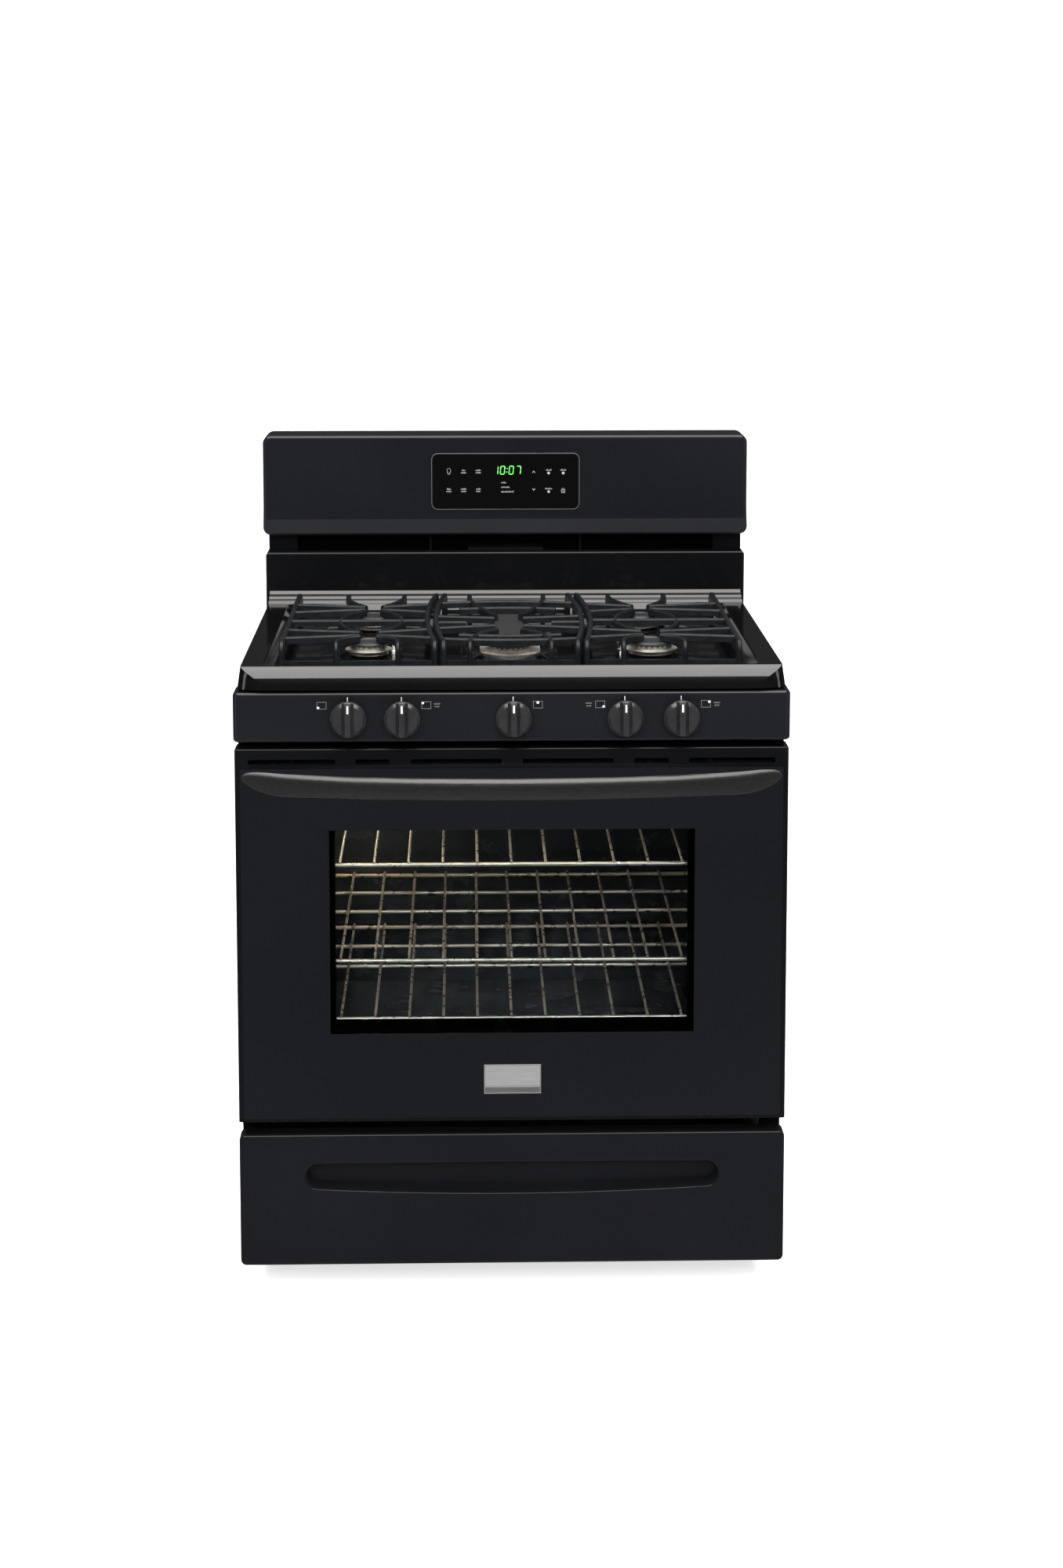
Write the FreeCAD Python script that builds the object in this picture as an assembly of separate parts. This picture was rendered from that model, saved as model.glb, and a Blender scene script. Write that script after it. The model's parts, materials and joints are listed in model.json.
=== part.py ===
import FreeCAD, Part
import math
import os

# Freestanding gas range: an oven with a drop-down door, a storage drawer below it, five sealed
# burners under three cast-iron grates, and a backguard that carries the oven control.
# Millimetres. +X is the user's right, +Y is towards the wall, +Z is up.
# The origin is on the floor, under the middle of the whole range.

V = FreeCAD.Vector
X_AXIS = V(1, 0, 0)
Y_AXIS = V(0, 1, 0)
Z_AXIS = V(0, 0, 1)

# ---------------------------------------------------------------- driving dimensions
# Depth planes
BACK_Y = 359.5            # wall side of the backguard cover
HANDLE_Y = -359.5         # front of the door handle's bow
FRONT_Y = -302.0          # front faces of door, drawer and cooktop
DOOR_BACK_Y = -262.0      # oven side of the door's liner
FRAME_Y = -252.5          # front face of the body's front frame
BODY_BACK_Y = 345.0       # inner face of the rear panel
CONSOLE_Y = 279.0         # front face of the backguard's control housing
RISER_Y = 285.0           # front face of the backguard's lower panel

# Half widths
FRONT_HALF = 379.5        # door and drawer front
SIDE_HALF = 378.0         # side panels
PANEL_HALF = 381.0        # control panel
OVEN_HALF = 305.0         # oven cavity
COOKTOP_HALF = 376.5      # cooktop at its lower edge

# Heights
FRONT_BOTTOM_Z = 60.0     # lower edge of the drawer front
DRAWER_TOP_Z = 248.5
DOOR_BOTTOM_Z = 268.0
DOOR_TOP_Z = 795.0
PANEL_BOTTOM_Z = 804.0
PANEL_TOP_Z = 873.0
BODY_TOP_Z = 871.0
COOKTOP_BOTTOM_Z = 871.0
WELL_Z = 892.0            # floor of the cooktop's spill well
RIM_Z = 907.0             # cooktop rim
GRATE_TOP_Z = 927.0
RISER_TOP_Z = 985.0
CONSOLE_BOTTOM_Z = 1012.0
TOP_Z = 1168.0

SHEET = 1.2               # folded sheet steel
GAP = 0.3                 # running gap between pieces that move apart

# Body
FRAME_THICK = 2.5
FLANGE = 18.0
BODY_BOTTOM_Z = 62.0
DECK_Z = 63.5             # underside of the base frame
DECK_THICK = 3.0
LEG_X = 360.0
LEG_Y = (-120.0, 300.0)
LEG_PAD_R = 19.0
LEG_ROD_R = 5.0
LEG_HOLE_R = 5.6

# Oven
OVEN_FLOOR_Z = 268.0
OVEN_TOP_Z = 764.0
OVEN_MOUTH_Z = 296.0
OVEN_BACK_Y = 250.0
FLOOR_PANEL_Z = 299.0
RACK_Z = (613.0, 475.0, 391.0)
RACK_ROD_R = 3.0
RACK_WIRE_R = 1.9
RACK_HALF = 297.0
RACK_FRONT_Y = -228.0
RACK_BACK_Y = 236.0
RACK_BAR_Y = (25.0, 130.0)
RACK_WIRES = 13
RACK_WIRE_PITCH = 48.0
LEDGE_LEVELS = (345.0, 391.0, 475.0, 544.0, 613.0)
LEDGE_WIDTH = 9.0
LAMP_X, LAMP_Z, LAMP_R = -235.0, 698.0, 30.0
PROBE_X, PROBE_Z, PROBE_R = 215.0, 712.0, 2.4
FLUE_HALF = 58.0
FLUE_Z = (716.0, 748.0)

# Door
WINDOW_HALF = 251.5
WINDOW_Z = (392.0, 680.0)
GLASS_HALF = 372.3
GLASS_Z = (272.3, 766.7)
GLASS_THICK = 3.8
HINGE_Y = -275.0
HINGE_Z = 280.0
HINGE_PIN_R = 3.95
HINGE_BORE_R = 4.0
HINGE_X = 333.0
HANDLE_Z = 748.0
HANDLE_HALF = 370.5
HANDLE_HEIGHT = 30.6
TIP_START = 312.0         # where the handle's ends begin to narrow
TIP_RISE = 9.0            # how far the tips lie above the middle
HANDLE_DEPTH = 18.0
VENT_Z = (773.0, 780.0)
VENT_SPANS = ((14.5, 139.0), (167.5, 214.5), (242.0, 361.0))
BADGE_HALF = 39.5
BADGE_Z = (306.5, 348.0)

# Drawer
DRAWER_BACK_Y = -272.0
DRAWER_HALF = 335.0
DRAWER_Z = (75.0, 235.0)
DRAWER_END_Y = 250.0
POCKET_HALF = 288.0
POCKET_Z = (162.0, 208.0)
POCKET_DEPTH = 22.0

# Burners: name, x, y, cap radius
ROUND_BURNERS = (
    ("front_left", -201.0, -130.0, 27.0),
    ("rear_left", -201.0, 95.0, 31.0),
    ("front_right", 201.0, -130.0, 31.0),
    ("rear_right", 201.0, 95.0, 24.0),
)
OVAL_Y = -30.0
OVAL_HALF_LENGTH = 140.0
OVAL_R = 30.0
HEAD_FLANGE = 6.5         # how far a head's flange reaches past its cap
HEAD_Z = 901.5            # underside of a round head's flange
OVAL_SEAT_Z = 898.0       # raised island under the long burner
SEAT_RISE = 1.5           # rise of the cooktop under a round head
CAP_Z = 909.5
CAP_THICK = 5.0

# Controls
KNOB_X = (-223.5, -150.0, 2.0, 154.5, 231.5)
KNOB_Z = 837.0
KNOB_R = 25.0
KNOB_BACK_Y = -307.3
PANEL_Y = -304.0
STEM_R = 4.0
STEM_CLEARANCE = 0.05

# Grates
BAR_WIDTH = 9.0
BAR_HEIGHT = 10.0
FINGER_WIDTH = 8.0
GRATE_FRONT_Y = -210.0
GRATE_BACK_Y = 238.0
FOOT_SPREAD = 43.0        # foot arms either side of a side burner
SLOT_HALF = 13.0          # finger tips either side of a burner's centre line


# ---------------------------------------------------------------- shape helpers
def block(x, y, z):
    """Box between pairs of limits."""
    return Part.makeBox(x[1] - x[0], y[1] - y[0], z[1] - z[0], V(x[0], y[0], z[0]))


def rod(radius, start, end):
    """Round bar between two points."""
    start, end = V(*start), V(*end)
    return Part.makeCylinder(radius, (end - start).Length, start, end - start)


def fused(pieces):
    """One solid from pieces that meet."""
    return pieces[0].multiFuse(pieces[1:]).removeSplitter()


def mirrored(shape):
    """The same piece on the other side of the range."""
    return shape.mirror(V(0, 0, 0), X_AXIS)


def both_sides(shape):
    return [shape, mirrored(shape)]


def rounded(shape, radius, chosen):
    """Fillets every straight edge for which chosen(middle, direction) is true."""
    edges = []
    for edge in shape.Edges:
        if isinstance(edge.Curve, Part.Line):
            middle = edge.valueAt((edge.FirstParameter + edge.LastParameter) / 2)
            if chosen(middle, edge.Curve.Direction):
                edges.append(edge)
    return shape.makeFillet(radius, edges)


def along(direction, axis):
    return abs(direction.dot(axis)) > 0.999


def rounded_block(x, y, z, radius, axis):
    """Box with the four edges along one axis rounded."""
    return rounded(block(x, y, z), radius, lambda middle, way: along(way, axis))


def prism(outline, x):
    """Solid with an outline of (y, z) points, between two x limits."""
    points = [V(x[0], y, z) for y, z in outline]
    face = Part.Face(Part.makePolygon(points + points[:1]))
    return face.extrude(V(x[1] - x[0], 0, 0))


def turned(profile, centre, axis=Z_AXIS):
    """Solid of revolution: profile of (radius, height) points about an axis through centre."""
    points = [V(r, 0, h) for r, h in profile]
    solid = Part.Face(Part.makePolygon(points + points[:1])).revolve(V(0, 0, 0), Z_AXIS, 360)
    solid.Placement = FreeCAD.Placement(V(*centre), FreeCAD.Rotation(Z_AXIS, axis))
    return solid


def stadium(half_width, half_length, centre, z):
    """Slot-shaped plate that lies along Y."""
    x, y = centre
    end = half_length - half_width
    middle = block((x - half_width, x + half_width), (y - end, y + end), z)
    ends = [Part.makeCylinder(half_width, z[1] - z[0], V(x, y + e, z[0])) for e in (-end, end)]
    return fused([middle] + ends)


def bent_path(points, radius):
    """Straight runs joined by tangent arcs."""
    corners = [V(*p) for p in points]
    edges, start = [], corners[0]
    for before, corner, after in zip(corners, corners[1:], corners[2:]):
        into = (corner - before).normalize()
        out = (after - corner).normalize()
        turn = into.getAngle(out)
        reach = radius * math.tan(turn / 2)
        first, last = corner - into * reach, corner + out * reach
        inward = (out - into).normalize()
        middle = corner + inward * (radius / math.cos(turn / 2) - radius)
        edges.append(Part.LineSegment(start, first).toShape())
        edges.append(Part.Arc(first, middle, last).toShape())
        start = last
    edges.append(Part.LineSegment(start, corners[-1]).toShape())
    return Part.Wire(edges)


def tube(points, radius, bend):
    """Round bar or pipe bent along a path."""
    path = bent_path(points, bend)
    first, second = V(*points[0]), V(*points[1])
    ring = Part.Wire(Part.makeCircle(radius, first, second - first))
    return path.makePipeShell([ring], True, True)


def tray(x, y, z, wall, open_side):
    """Box with a wall all round except on one side, named by axis and sign, such as '-y'."""
    grow = {side: wall for side in ("-x", "+x", "-y", "+y", "-z", "+z")}
    grow[open_side] = -wall
    inside = block((x[0] + grow["-x"], x[1] - grow["+x"]),
                   (y[0] + grow["-y"], y[1] - grow["+y"]),
                   (z[0] + grow["-z"], z[1] - grow["+z"]))
    return block(x, y, z).cut(inside)


def save(name, shape):
    """Writes one named piece."""
    pieces = shape if isinstance(shape, list) else [shape]
    solids = [solid for piece in pieces for solid in piece.Solids]
    for solid in solids:
        if not solid.isValid():
            print("NOT VALID", name)
    result = solids[0] if len(solids) == 1 else Part.makeCompound(solids)
    result.exportStep(f"parts/{name}.step")


# ---------------------------------------------------------------- body
def side_panel():
    """Right-hand side panel, a shallow tray that opens inwards."""
    x = (SIDE_HALF - FLANGE, SIDE_HALF)
    y = (FRAME_Y + FRAME_THICK, BODY_BACK_Y)
    panel = tray(x, y, (BODY_BOTTOM_Z, BODY_TOP_Z), SHEET, "-x")
    leg_notch = block((x[0] - 1, SIDE_HALF - SHEET), y, (BODY_BOTTOM_Z - 1, DECK_Z + DECK_THICK))
    return panel.cut(leg_notch)


def rear_panel():
    half = SIDE_HALF - 2.0
    y = (BODY_BACK_Y, BODY_BACK_Y + SHEET)
    panel = block((-half, half), y, (BODY_BOTTOM_Z, BODY_TOP_Z))
    slot = rounded_block((-4, 4), (y[0] - 1, y[1] + 1), (0, 60), 3.9, Y_AXIS)
    cuts = []
    for row_z in (180.0, 700.0):
        for step in range(-9, 10):
            cuts.append(slot.translated(V(step * 24.0, 0, row_z)))
    cuts.append(rod(14.0, (GAS_X, y[0] - 1, GAS_Z), (GAS_X, y[1] + 1, GAS_Z)))
    cuts.append(block(POWER_X, (y[0] - 1, y[1] + 1), POWER_Z))
    return panel.cut(Part.makeCompound(cuts))


def base_frame():
    """Ring that carries the body and takes the four levelling legs."""
    y = (FRAME_Y + FRAME_THICK, BODY_BACK_Y)
    half = SIDE_HALF - SHEET
    z = (DECK_Z, DECK_Z + DECK_THICK)
    ring = block((-half, half), y, z)
    ring = ring.cut(block((-346, 346), (y[0] + 24, y[1] - 30), (z[0] - 1, z[1] + 1)))
    holes = [rod(LEG_HOLE_R, (s * LEG_X, ly, z[0] - 1), (s * LEG_X, ly, z[1] + 1))
             for s in (-1, 1) for ly in LEG_Y]
    return ring.cut(Part.makeCompound(holes))


def levelling_legs():
    """Foot pad with a hexagonal collar and a threaded rod, four times."""
    profile = [(0, 0), (LEG_PAD_R - 1.5, 0), (LEG_PAD_R, 1.5), (LEG_PAD_R, 7), (LEG_PAD_R - 3, 10),
               (8, 12), (8, DECK_Z), (LEG_ROD_R, DECK_Z), (LEG_ROD_R, DECK_Z + 28), (0, DECK_Z + 28)]
    return [turned(profile, (s * LEG_X, y, 0)) for s in (-1, 1) for y in LEG_Y]


def front_frame():
    y = (FRAME_Y, FRAME_Y + FRAME_THICK)
    through = (y[0] - 1, y[1] + 1)
    frame = rounded_block((-SIDE_HALF, SIDE_HALF), y, (BODY_BOTTOM_Z, BODY_TOP_Z), 3, Y_AXIS)
    mouth = rounded_block((-OVEN_HALF, OVEN_HALF), through, (OVEN_MOUTH_Z, OVEN_TOP_Z), 12, Y_AXIS)
    drawer = block((-348.5, 348.5), through, (70, 250))
    valves = block((-350, 350), through, (812, 864))
    return frame.cut(Part.makeCompound([mouth, drawer, valves]))


def oven_liner():
    """Enamelled cavity, open at the front, with ledges for the racks."""
    y = (FRAME_Y + FRAME_THICK, OVEN_BACK_Y)
    x = (-OVEN_HALF - SHEET, OVEN_HALF + SHEET)
    shell = tray(x, (y[0], y[1] + SHEET), (OVEN_FLOOR_Z - SHEET, OVEN_TOP_Z + SHEET), SHEET, "-y")
    ledges = []
    for level in LEDGE_LEVELS:
        top = level - RACK_ROD_R - GAP
        outline = [(OVEN_HALF, top), (OVEN_HALF - LEDGE_WIDTH, top),
                   (OVEN_HALF - LEDGE_WIDTH, top - 2), (OVEN_HALF, top - 8)]
        points = [V(lx, y[0] + 14, lz) for lx, lz in outline]
        face = Part.Face(Part.makePolygon(points + points[:1]))
        ledges += both_sides(face.extrude(V(0, y[1] - y[0] - 24, 0)))
    for side in (-1, 1):
        step = sorted((side * (OVEN_HALF - 14), side * OVEN_HALF))
        ledges.append(block(step, (y[0] + 14, y[1]), (FLOOR_PANEL_Z - 4, FLOOR_PANEL_Z - GAP)))
    liner = fused([shell] + ledges)
    back = (y[1] - 1, y[1] + SHEET + 1)
    flue = block((-FLUE_HALF, FLUE_HALF), back, FLUE_Z)
    lamp = rod(12, (LAMP_X, back[0], LAMP_Z), (LAMP_X, back[1], LAMP_Z))
    probe = rod(PROBE_R + 0.4, (PROBE_X, back[0], PROBE_Z), (PROBE_X, back[1], PROBE_Z))
    return liner.cut(Part.makeCompound([flue, lamp, probe]))


def oven_insulation():
    """Blanket wrapped round the cavity, with holes for the flue, lamp and probe."""
    gap = 1.5
    inner_x = OVEN_HALF + SHEET + gap
    inner_z = (OVEN_FLOOR_Z - SHEET - gap, OVEN_TOP_Z + SHEET + gap)
    inner_back = OVEN_BACK_Y + SHEET + gap
    front = FRAME_Y + FRAME_THICK + 1
    outer = block((-inner_x - 34, inner_x + 34), (front, inner_back + 30), (256, inner_z[1] + 32))
    inner = block((-inner_x, inner_x), (front - 1, inner_back), inner_z)
    back = (inner_back - 1, inner_back + 31)
    flue = block((-FLUE_HALF - 4, FLUE_HALF + 4), back, (FLUE_Z[0] - 4, inner_z[1] + 40))
    lamp = rod(14, (LAMP_X, back[0], LAMP_Z), (LAMP_X, back[1], LAMP_Z))
    probe = rod(6, (PROBE_X, back[0], PROBE_Z), (PROBE_X, back[1], PROBE_Z))
    return outer.cut(inner).cut(Part.makeCompound([flue, lamp, probe]))


def oven_floor_panel():
    half = OVEN_HALF - 1.5
    y = (FRAME_Y + 18, OVEN_BACK_Y - 2)
    z = (FLOOR_PANEL_Z, FLOOR_PANEL_Z + 1.5)
    panel = block((-half, half), y, z)
    slot = rounded_block((-4, 4), (-30, 30), (z[0] - 1, z[1] + 1), 3.9, Z_AXIS)
    cuts = [slot.translated(V(side * (half - 24), row * 90.0, 0))
            for side in (-1, 1) for row in (-2, -1, 0, 1, 2)]
    return panel.cut(Part.makeCompound(cuts))


def bake_burner():
    back = OVEN_BACK_Y
    path = [(90, back, 284), (90, -180, 284), (-90, -180, 284), (-90, 205, 284)]
    return tube(path, 9.0, 60.0)


def broil_burner():
    back = OVEN_BACK_Y
    path = [(150, back), (150, -160), (50, -160), (50, 150), (-50, 150), (-50, -160), (-150, -160),
            (-150, 190)]
    return tube([(px, py, 746) for px, py in path], 7.0, 45.0)


def oven_lamp_lens():
    """Domed glass cover over the oven lamp, hollow behind."""
    depth = 20.0
    profile = [(LAMP_R, 0), (LAMP_R, 4)]
    outer = [(LAMP_R * 0.9 * math.cos(a), 4 + (depth - 4) * math.sin(a))
             for a in [math.radians(15 * k) for k in range(0, 7)]]
    inner = [(max(r - 3, 0), max(h - 3, 0)) for r, h in outer]
    profile += outer + list(reversed(inner)) + [(LAMP_R * 0.9 - 3, 0)]
    return turned(profile, (LAMP_X, OVEN_BACK_Y, LAMP_Z), V(0, -1, 0))


def temperature_probe():
    bar = rod(PROBE_R, (PROBE_X, OVEN_BACK_Y - 96, PROBE_Z), (PROBE_X, OVEN_BACK_Y + 20, PROBE_Z))
    tip = Part.makeSphere(PROBE_R, V(PROBE_X, OVEN_BACK_Y - 96, PROBE_Z))
    collar = rod(9, (PROBE_X, OVEN_BACK_Y - 3, PROBE_Z), (PROBE_X, OVEN_BACK_Y, PROBE_Z))
    return fused([bar, tip, collar])


FLUE_DUCT_Y = (296.0, 340.0)


def oven_flue_duct():
    """Carries the oven's exhaust up to the slot in the backguard."""
    start = OVEN_BACK_Y + SHEET
    wall = SHEET
    outer_x = (-FLUE_HALF - wall, FLUE_HALF + wall)
    low = FLUE_Z[0] - wall
    outline = [(start, low), (FLUE_DUCT_Y[1], low), (FLUE_DUCT_Y[1], RISER_TOP_Z + 4),
               (FLUE_DUCT_Y[0], RISER_TOP_Z + 4), (FLUE_DUCT_Y[0], FLUE_Z[1] + wall),
               (start, FLUE_Z[1] + wall)]
    hollow = [(start - 1, FLUE_Z[0]), (FLUE_DUCT_Y[1] - wall, FLUE_Z[0]),
              (FLUE_DUCT_Y[1] - wall, RISER_TOP_Z + 9), (FLUE_DUCT_Y[0] + wall, RISER_TOP_Z + 9),
              (FLUE_DUCT_Y[0] + wall, FLUE_Z[1]), (start - 1, FLUE_Z[1])]
    return prism(outline, outer_x).cut(prism(hollow, (-FLUE_HALF, FLUE_HALF)))


def hinge_receivers():
    """Brackets on the front frame that carry the door's hinge pins."""
    arm = prism([(FRAME_Y, HINGE_Z - 10), (HINGE_Y, HINGE_Z - 9), (HINGE_Y, HINGE_Z + 9),
                 (FRAME_Y, HINGE_Z + 10)], (HINGE_X - 2, HINGE_X + 2))
    nose = rod(9, (HINGE_X - 2, HINGE_Y, HINGE_Z), (HINGE_X + 2, HINGE_Y, HINGE_Z))
    flange = block((HINGE_X - 2, HINGE_X + 18), (FRAME_Y - 2, FRAME_Y), (HINGE_Z - 17, HINGE_Z + 17))
    bore = rod(HINGE_BORE_R, (HINGE_X - 3, HINGE_Y, HINGE_Z), (HINGE_X + 3, HINGE_Y, HINGE_Z))
    return both_sides(fused([arm, nose, flange]).cut(bore))


GAS_X, GAS_Z = 255.0, 110.0
GAS_BORE_R = 9.3
POWER_X = (-282.0, -242.0)
POWER_Z = (104.0, 132.0)


def pressure_regulator():
    """Gas pressure regulator behind the drawer, with its inlet through the rear panel."""
    body = turned([(0, 0), (27, 0), (29, 3), (29, 10), (24, 20), (14, 27), (14, 36), (0, 36)],
                  (GAS_X, 312, GAS_Z + 16))
    neck = rod(13, (GAS_X, 312, GAS_Z), (GAS_X, BODY_BACK_Y + 12, GAS_Z))
    foot = rod(13, (GAS_X, 312, GAS_Z - 13), (GAS_X, 312, GAS_Z + 16))
    bore = rod(GAS_BORE_R, (GAS_X, BODY_BACK_Y - 8, GAS_Z), (GAS_X, BODY_BACK_Y + 13, GAS_Z))
    return fused([body, neck, foot]).cut(bore)


def power_inlet():
    """Panel-mounted mains inlet with three flat pins."""
    y = (BODY_BACK_Y - 14, BODY_BACK_Y + 5)
    x = (POWER_X[0] + 0.4, POWER_X[1] - 0.4)
    z = (POWER_Z[0] + 0.4, POWER_Z[1] - 0.4)
    shell = block(x, y, z).cut(block((x[0] + 3, x[1] - 3), (y[0] + 3, y[1] + 1), (z[0] + 3, z[1] - 3)))
    middle_x, middle_z = (x[0] + x[1]) / 2, (z[0] + z[1]) / 2
    pins = [block((middle_x + dx - 1, middle_x + dx + 1), (y[0] + 2, y[1] - 3),
                  (middle_z + dz - 2.5, middle_z + dz + 2.5)) for dx, dz in ((-8, 3), (8, 3), (0, -4))]
    return fused([shell] + pins)


def panel_screws():
    """Pan-head screws round the rear panel and the backguard cover."""
    profile = [(0, 0), (4.5, 0), (4.2, 1.6), (2.6, 2.6), (0, 2.9)]
    screws = []
    for side in (-1, 1):
        for z in (90.0, 280.0, 470.0, 660.0, 840.0):
            screws.append(turned(profile, (side * 364.0, BODY_BACK_Y + SHEET, z), Y_AXIS))
    for x in (-250.0, 0.0, 250.0):
        screws.append(turned(profile, (x, BODY_BACK_Y + SHEET, 852.0), Y_AXIS))
    return screws


def drawer_rails():
    """Fixed halves of the drawer slides."""
    rail = block((344.4, 350), (FRAME_Y + 10, 262), (138, 162))
    groove = block((344.3, 347.5), (FRAME_Y + 9, 258), (144.5, 155.5))
    bracket = block((350, SIDE_HALF - FLANGE), (-150, -130), (140, 160))
    rear = bracket.translated(V(0, 360, 0))
    return both_sides(fused([rail.cut(groove), bracket, rear]))


# ---------------------------------------------------------------- cooktop
def plan_slab(half, y, z, front, rear):
    """Flat plate in plan with oval corners, as a wire for lofting; front and rear are (x, y) radii."""
    edges, last, first = [], None, None
    for side, y_end, radii, start in ((1, y[0], front, -90), (1, y[1], rear, 0),
                                      (-1, y[1], rear, 90), (-1, y[0], front, 180)):
        centre = V(side * (half - radii[0]), y_end + (radii[1] if y_end == y[0] else -radii[1]), z)
        oval = Part.Ellipse(centre, radii[0], radii[1])
        corner = Part.ArcOfEllipse(oval, math.radians(start), math.radians(start + 90)).toShape()
        begin, finish = corner.valueAt(corner.FirstParameter), corner.valueAt(corner.LastParameter)
        if last is None:
            first = begin
        else:
            edges.append(Part.LineSegment(last, begin).toShape())
        edges.append(corner)
        last = finish
    edges.append(Part.LineSegment(last, first).toShape())
    return Part.Wire(edges)


def loft(wires):
    return Part.makeLoft(wires, True, True)


REAR_STEP_Y = 252.0
NOSE_TOP_Y = -289.0
WELL_HALF = 340.0
WELL_Y = (-284.0, 249.0)
CORNER = (65.0, 22.0)     # oval front corners of the cooktop, along X and Y
WELL_FLOOR_CORNER = (11.0, 11.0)
WELL_RIM_CORNER = (18.0, 18.0)
SKIN = 2.4                # thickness of the cooktop's top and rims


def cooktop_outline():
    """Side view of the cooktop: lip, sloping nose, rim and the three steps at the back."""
    hem, lip = V(0, FRONT_Y - 1.5, COOKTOP_BOTTOM_Z), V(0, FRONT_Y, COOKTOP_BOTTOM_Z + 9)
    nose_low = V(0, FRONT_Y, 885.0)
    nose_high = V(0, NOSE_TOP_Y, RIM_Z - 2.0)
    bulge = (nose_low + nose_high) * 0.5 + V(0, -1.6, 1.6)
    rim_front = V(0, NOSE_TOP_Y + 3.5, RIM_Z)
    rim_arc = V(0, NOSE_TOP_Y + 1.4, RIM_Z - 0.6)
    steps = [V(0, REAR_STEP_Y, RIM_Z), V(0, REAR_STEP_Y + 3, RIM_Z + 4),
             V(0, REAR_STEP_Y + 14, RIM_Z + 4.6), V(0, REAR_STEP_Y + 17, RIM_Z + 9),
             V(0, RISER_Y - 5, RIM_Z + 9.8), V(0, RISER_Y - 0.4, RIM_Z + 15)]
    end = [V(0, RISER_Y - 0.4, COOKTOP_BOTTOM_Z), hem]
    edges = [Part.LineSegment(hem, lip).toShape(), Part.LineSegment(lip, nose_low).toShape(),
             Part.Arc(nose_low, bulge, nose_high).toShape(),
             Part.Arc(nose_high, rim_arc, rim_front).toShape()]
    line = [rim_front] + steps + end
    edges += [Part.LineSegment(a, b).toShape() for a, b in zip(line, line[1:])]
    return Part.Face(Part.Wire(edges))


def cooktop_panel():
    half = COOKTOP_HALF
    slab = cooktop_outline().extrude(V(2 * half, 0, 0)).translated(V(-half, 0, 0))
    slab = rounded(slab, 2.0, lambda m, way: along(way, X_AXIS) and m.y > REAR_STEP_Y + 1
                   and RIM_Z + 3 < m.z < RIM_Z + 14)
    y = (FRONT_Y - 3, RISER_Y + 60)
    levels = ((COOKTOP_BOTTOM_Z - 1, half), (RIM_Z, half - 5.5), (RIM_Z + 20, half - 5.6))
    slab = slab.common(loft([plan_slab(level_half, y, level_z, CORNER, CORNER)
                             for level_z, level_half in levels]))
    well = loft([plan_slab(WELL_HALF - 9, (WELL_Y[0] + 8, WELL_Y[1] - 8), WELL_Z,
                           WELL_FLOOR_CORNER, WELL_FLOOR_CORNER),
                 plan_slab(WELL_HALF, WELL_Y, RIM_Z + 0.01, WELL_RIM_CORNER, WELL_RIM_CORNER)])
    top = slab.cut(well)
    well_edges = []
    for edge in top.Edges:
        box = edge.BoundBox
        inside = abs(box.XMin) <= WELL_HALF + 0.1 and abs(box.XMax) <= WELL_HALF + 0.1
        within = box.YMin >= WELL_Y[0] - 0.1 and box.YMax <= WELL_Y[1] + 0.1
        if inside and within and box.ZMin > RIM_Z - 0.1:
            well_edges.append(edge)
    top = top.makeFillet(2.0, well_edges)
    hollow_half = half - 10
    hollow = block((-hollow_half, hollow_half), (NOSE_TOP_Y + 8, RISER_Y - 3),
                   (COOKTOP_BOTTOM_Z - 1, WELL_Z - SKIN))
    rims = both_sides(block((WELL_HALF + SKIN, hollow_half), (WELL_Y[0] + 30, WELL_Y[1]),
                            (WELL_Z - SKIN - 1, RIM_Z - SKIN)))
    shelf = block((-hollow_half, hollow_half), (WELL_Y[1] + SKIN, RISER_Y - 3),
                  (WELL_Z - SKIN - 1, RIM_Z - SKIN))
    lip_relief = block((-half - 1, half + 1), (FRONT_Y - 5, FRAME_Y + GAP),
                       (COOKTOP_BOTTOM_Z - 2, PANEL_TOP_Z + 3))
    top = top.cut(Part.makeCompound([hollow, shelf] + rims)).cut(lip_relief)
    rises, holes = [], []
    for name, x, y0, cap_r in ROUND_BURNERS:
        rises.append(turned([(0, -2), (72, -2), (72, 0), (cap_r + 14, SEAT_RISE), (0, SEAT_RISE)],
                            (x, y0, WELL_Z)))
        holes.append(rod(HEAD_NECK_R + 0.6, (x, y0, WELL_Z - 9), (x, y0, WELL_Z + 9)))
    rises.append(loft_stadium(70, 168, WELL_Z - 1, 56, 152, OVAL_SEAT_Z))
    holes.append(rod(HEAD_NECK_R + 0.6, (0, OVAL_Y, WELL_Z - 9), (0, OVAL_Y, WELL_Z + 9)))
    return fused([top] + rises).cut(Part.makeCompound(holes))


def stadium_wire(half_width, half_length, centre, z):
    x, y = centre
    end = half_length - half_width
    a, b = V(x + half_width, y - end, z), V(x + half_width, y + end, z)
    c, d = V(x - half_width, y + end, z), V(x - half_width, y - end, z)
    top, bottom = V(x, y + half_length, z), V(x, y - half_length, z)
    return Part.Wire([Part.LineSegment(a, b).toShape(), Part.Arc(b, top, c).toShape(),
                      Part.LineSegment(c, d).toShape(), Part.Arc(d, bottom, a).toShape()])


def loft_stadium(low_half, low_length, low_z, high_half, high_length, high_z):
    centre = (0.0, OVAL_Y)
    return loft([stadium_wire(low_half, low_length, centre, low_z),
                 stadium_wire(high_half, high_length, centre, high_z)])


HEAD_NECK_R = 16.0
NECK_Z = 882.0


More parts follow.
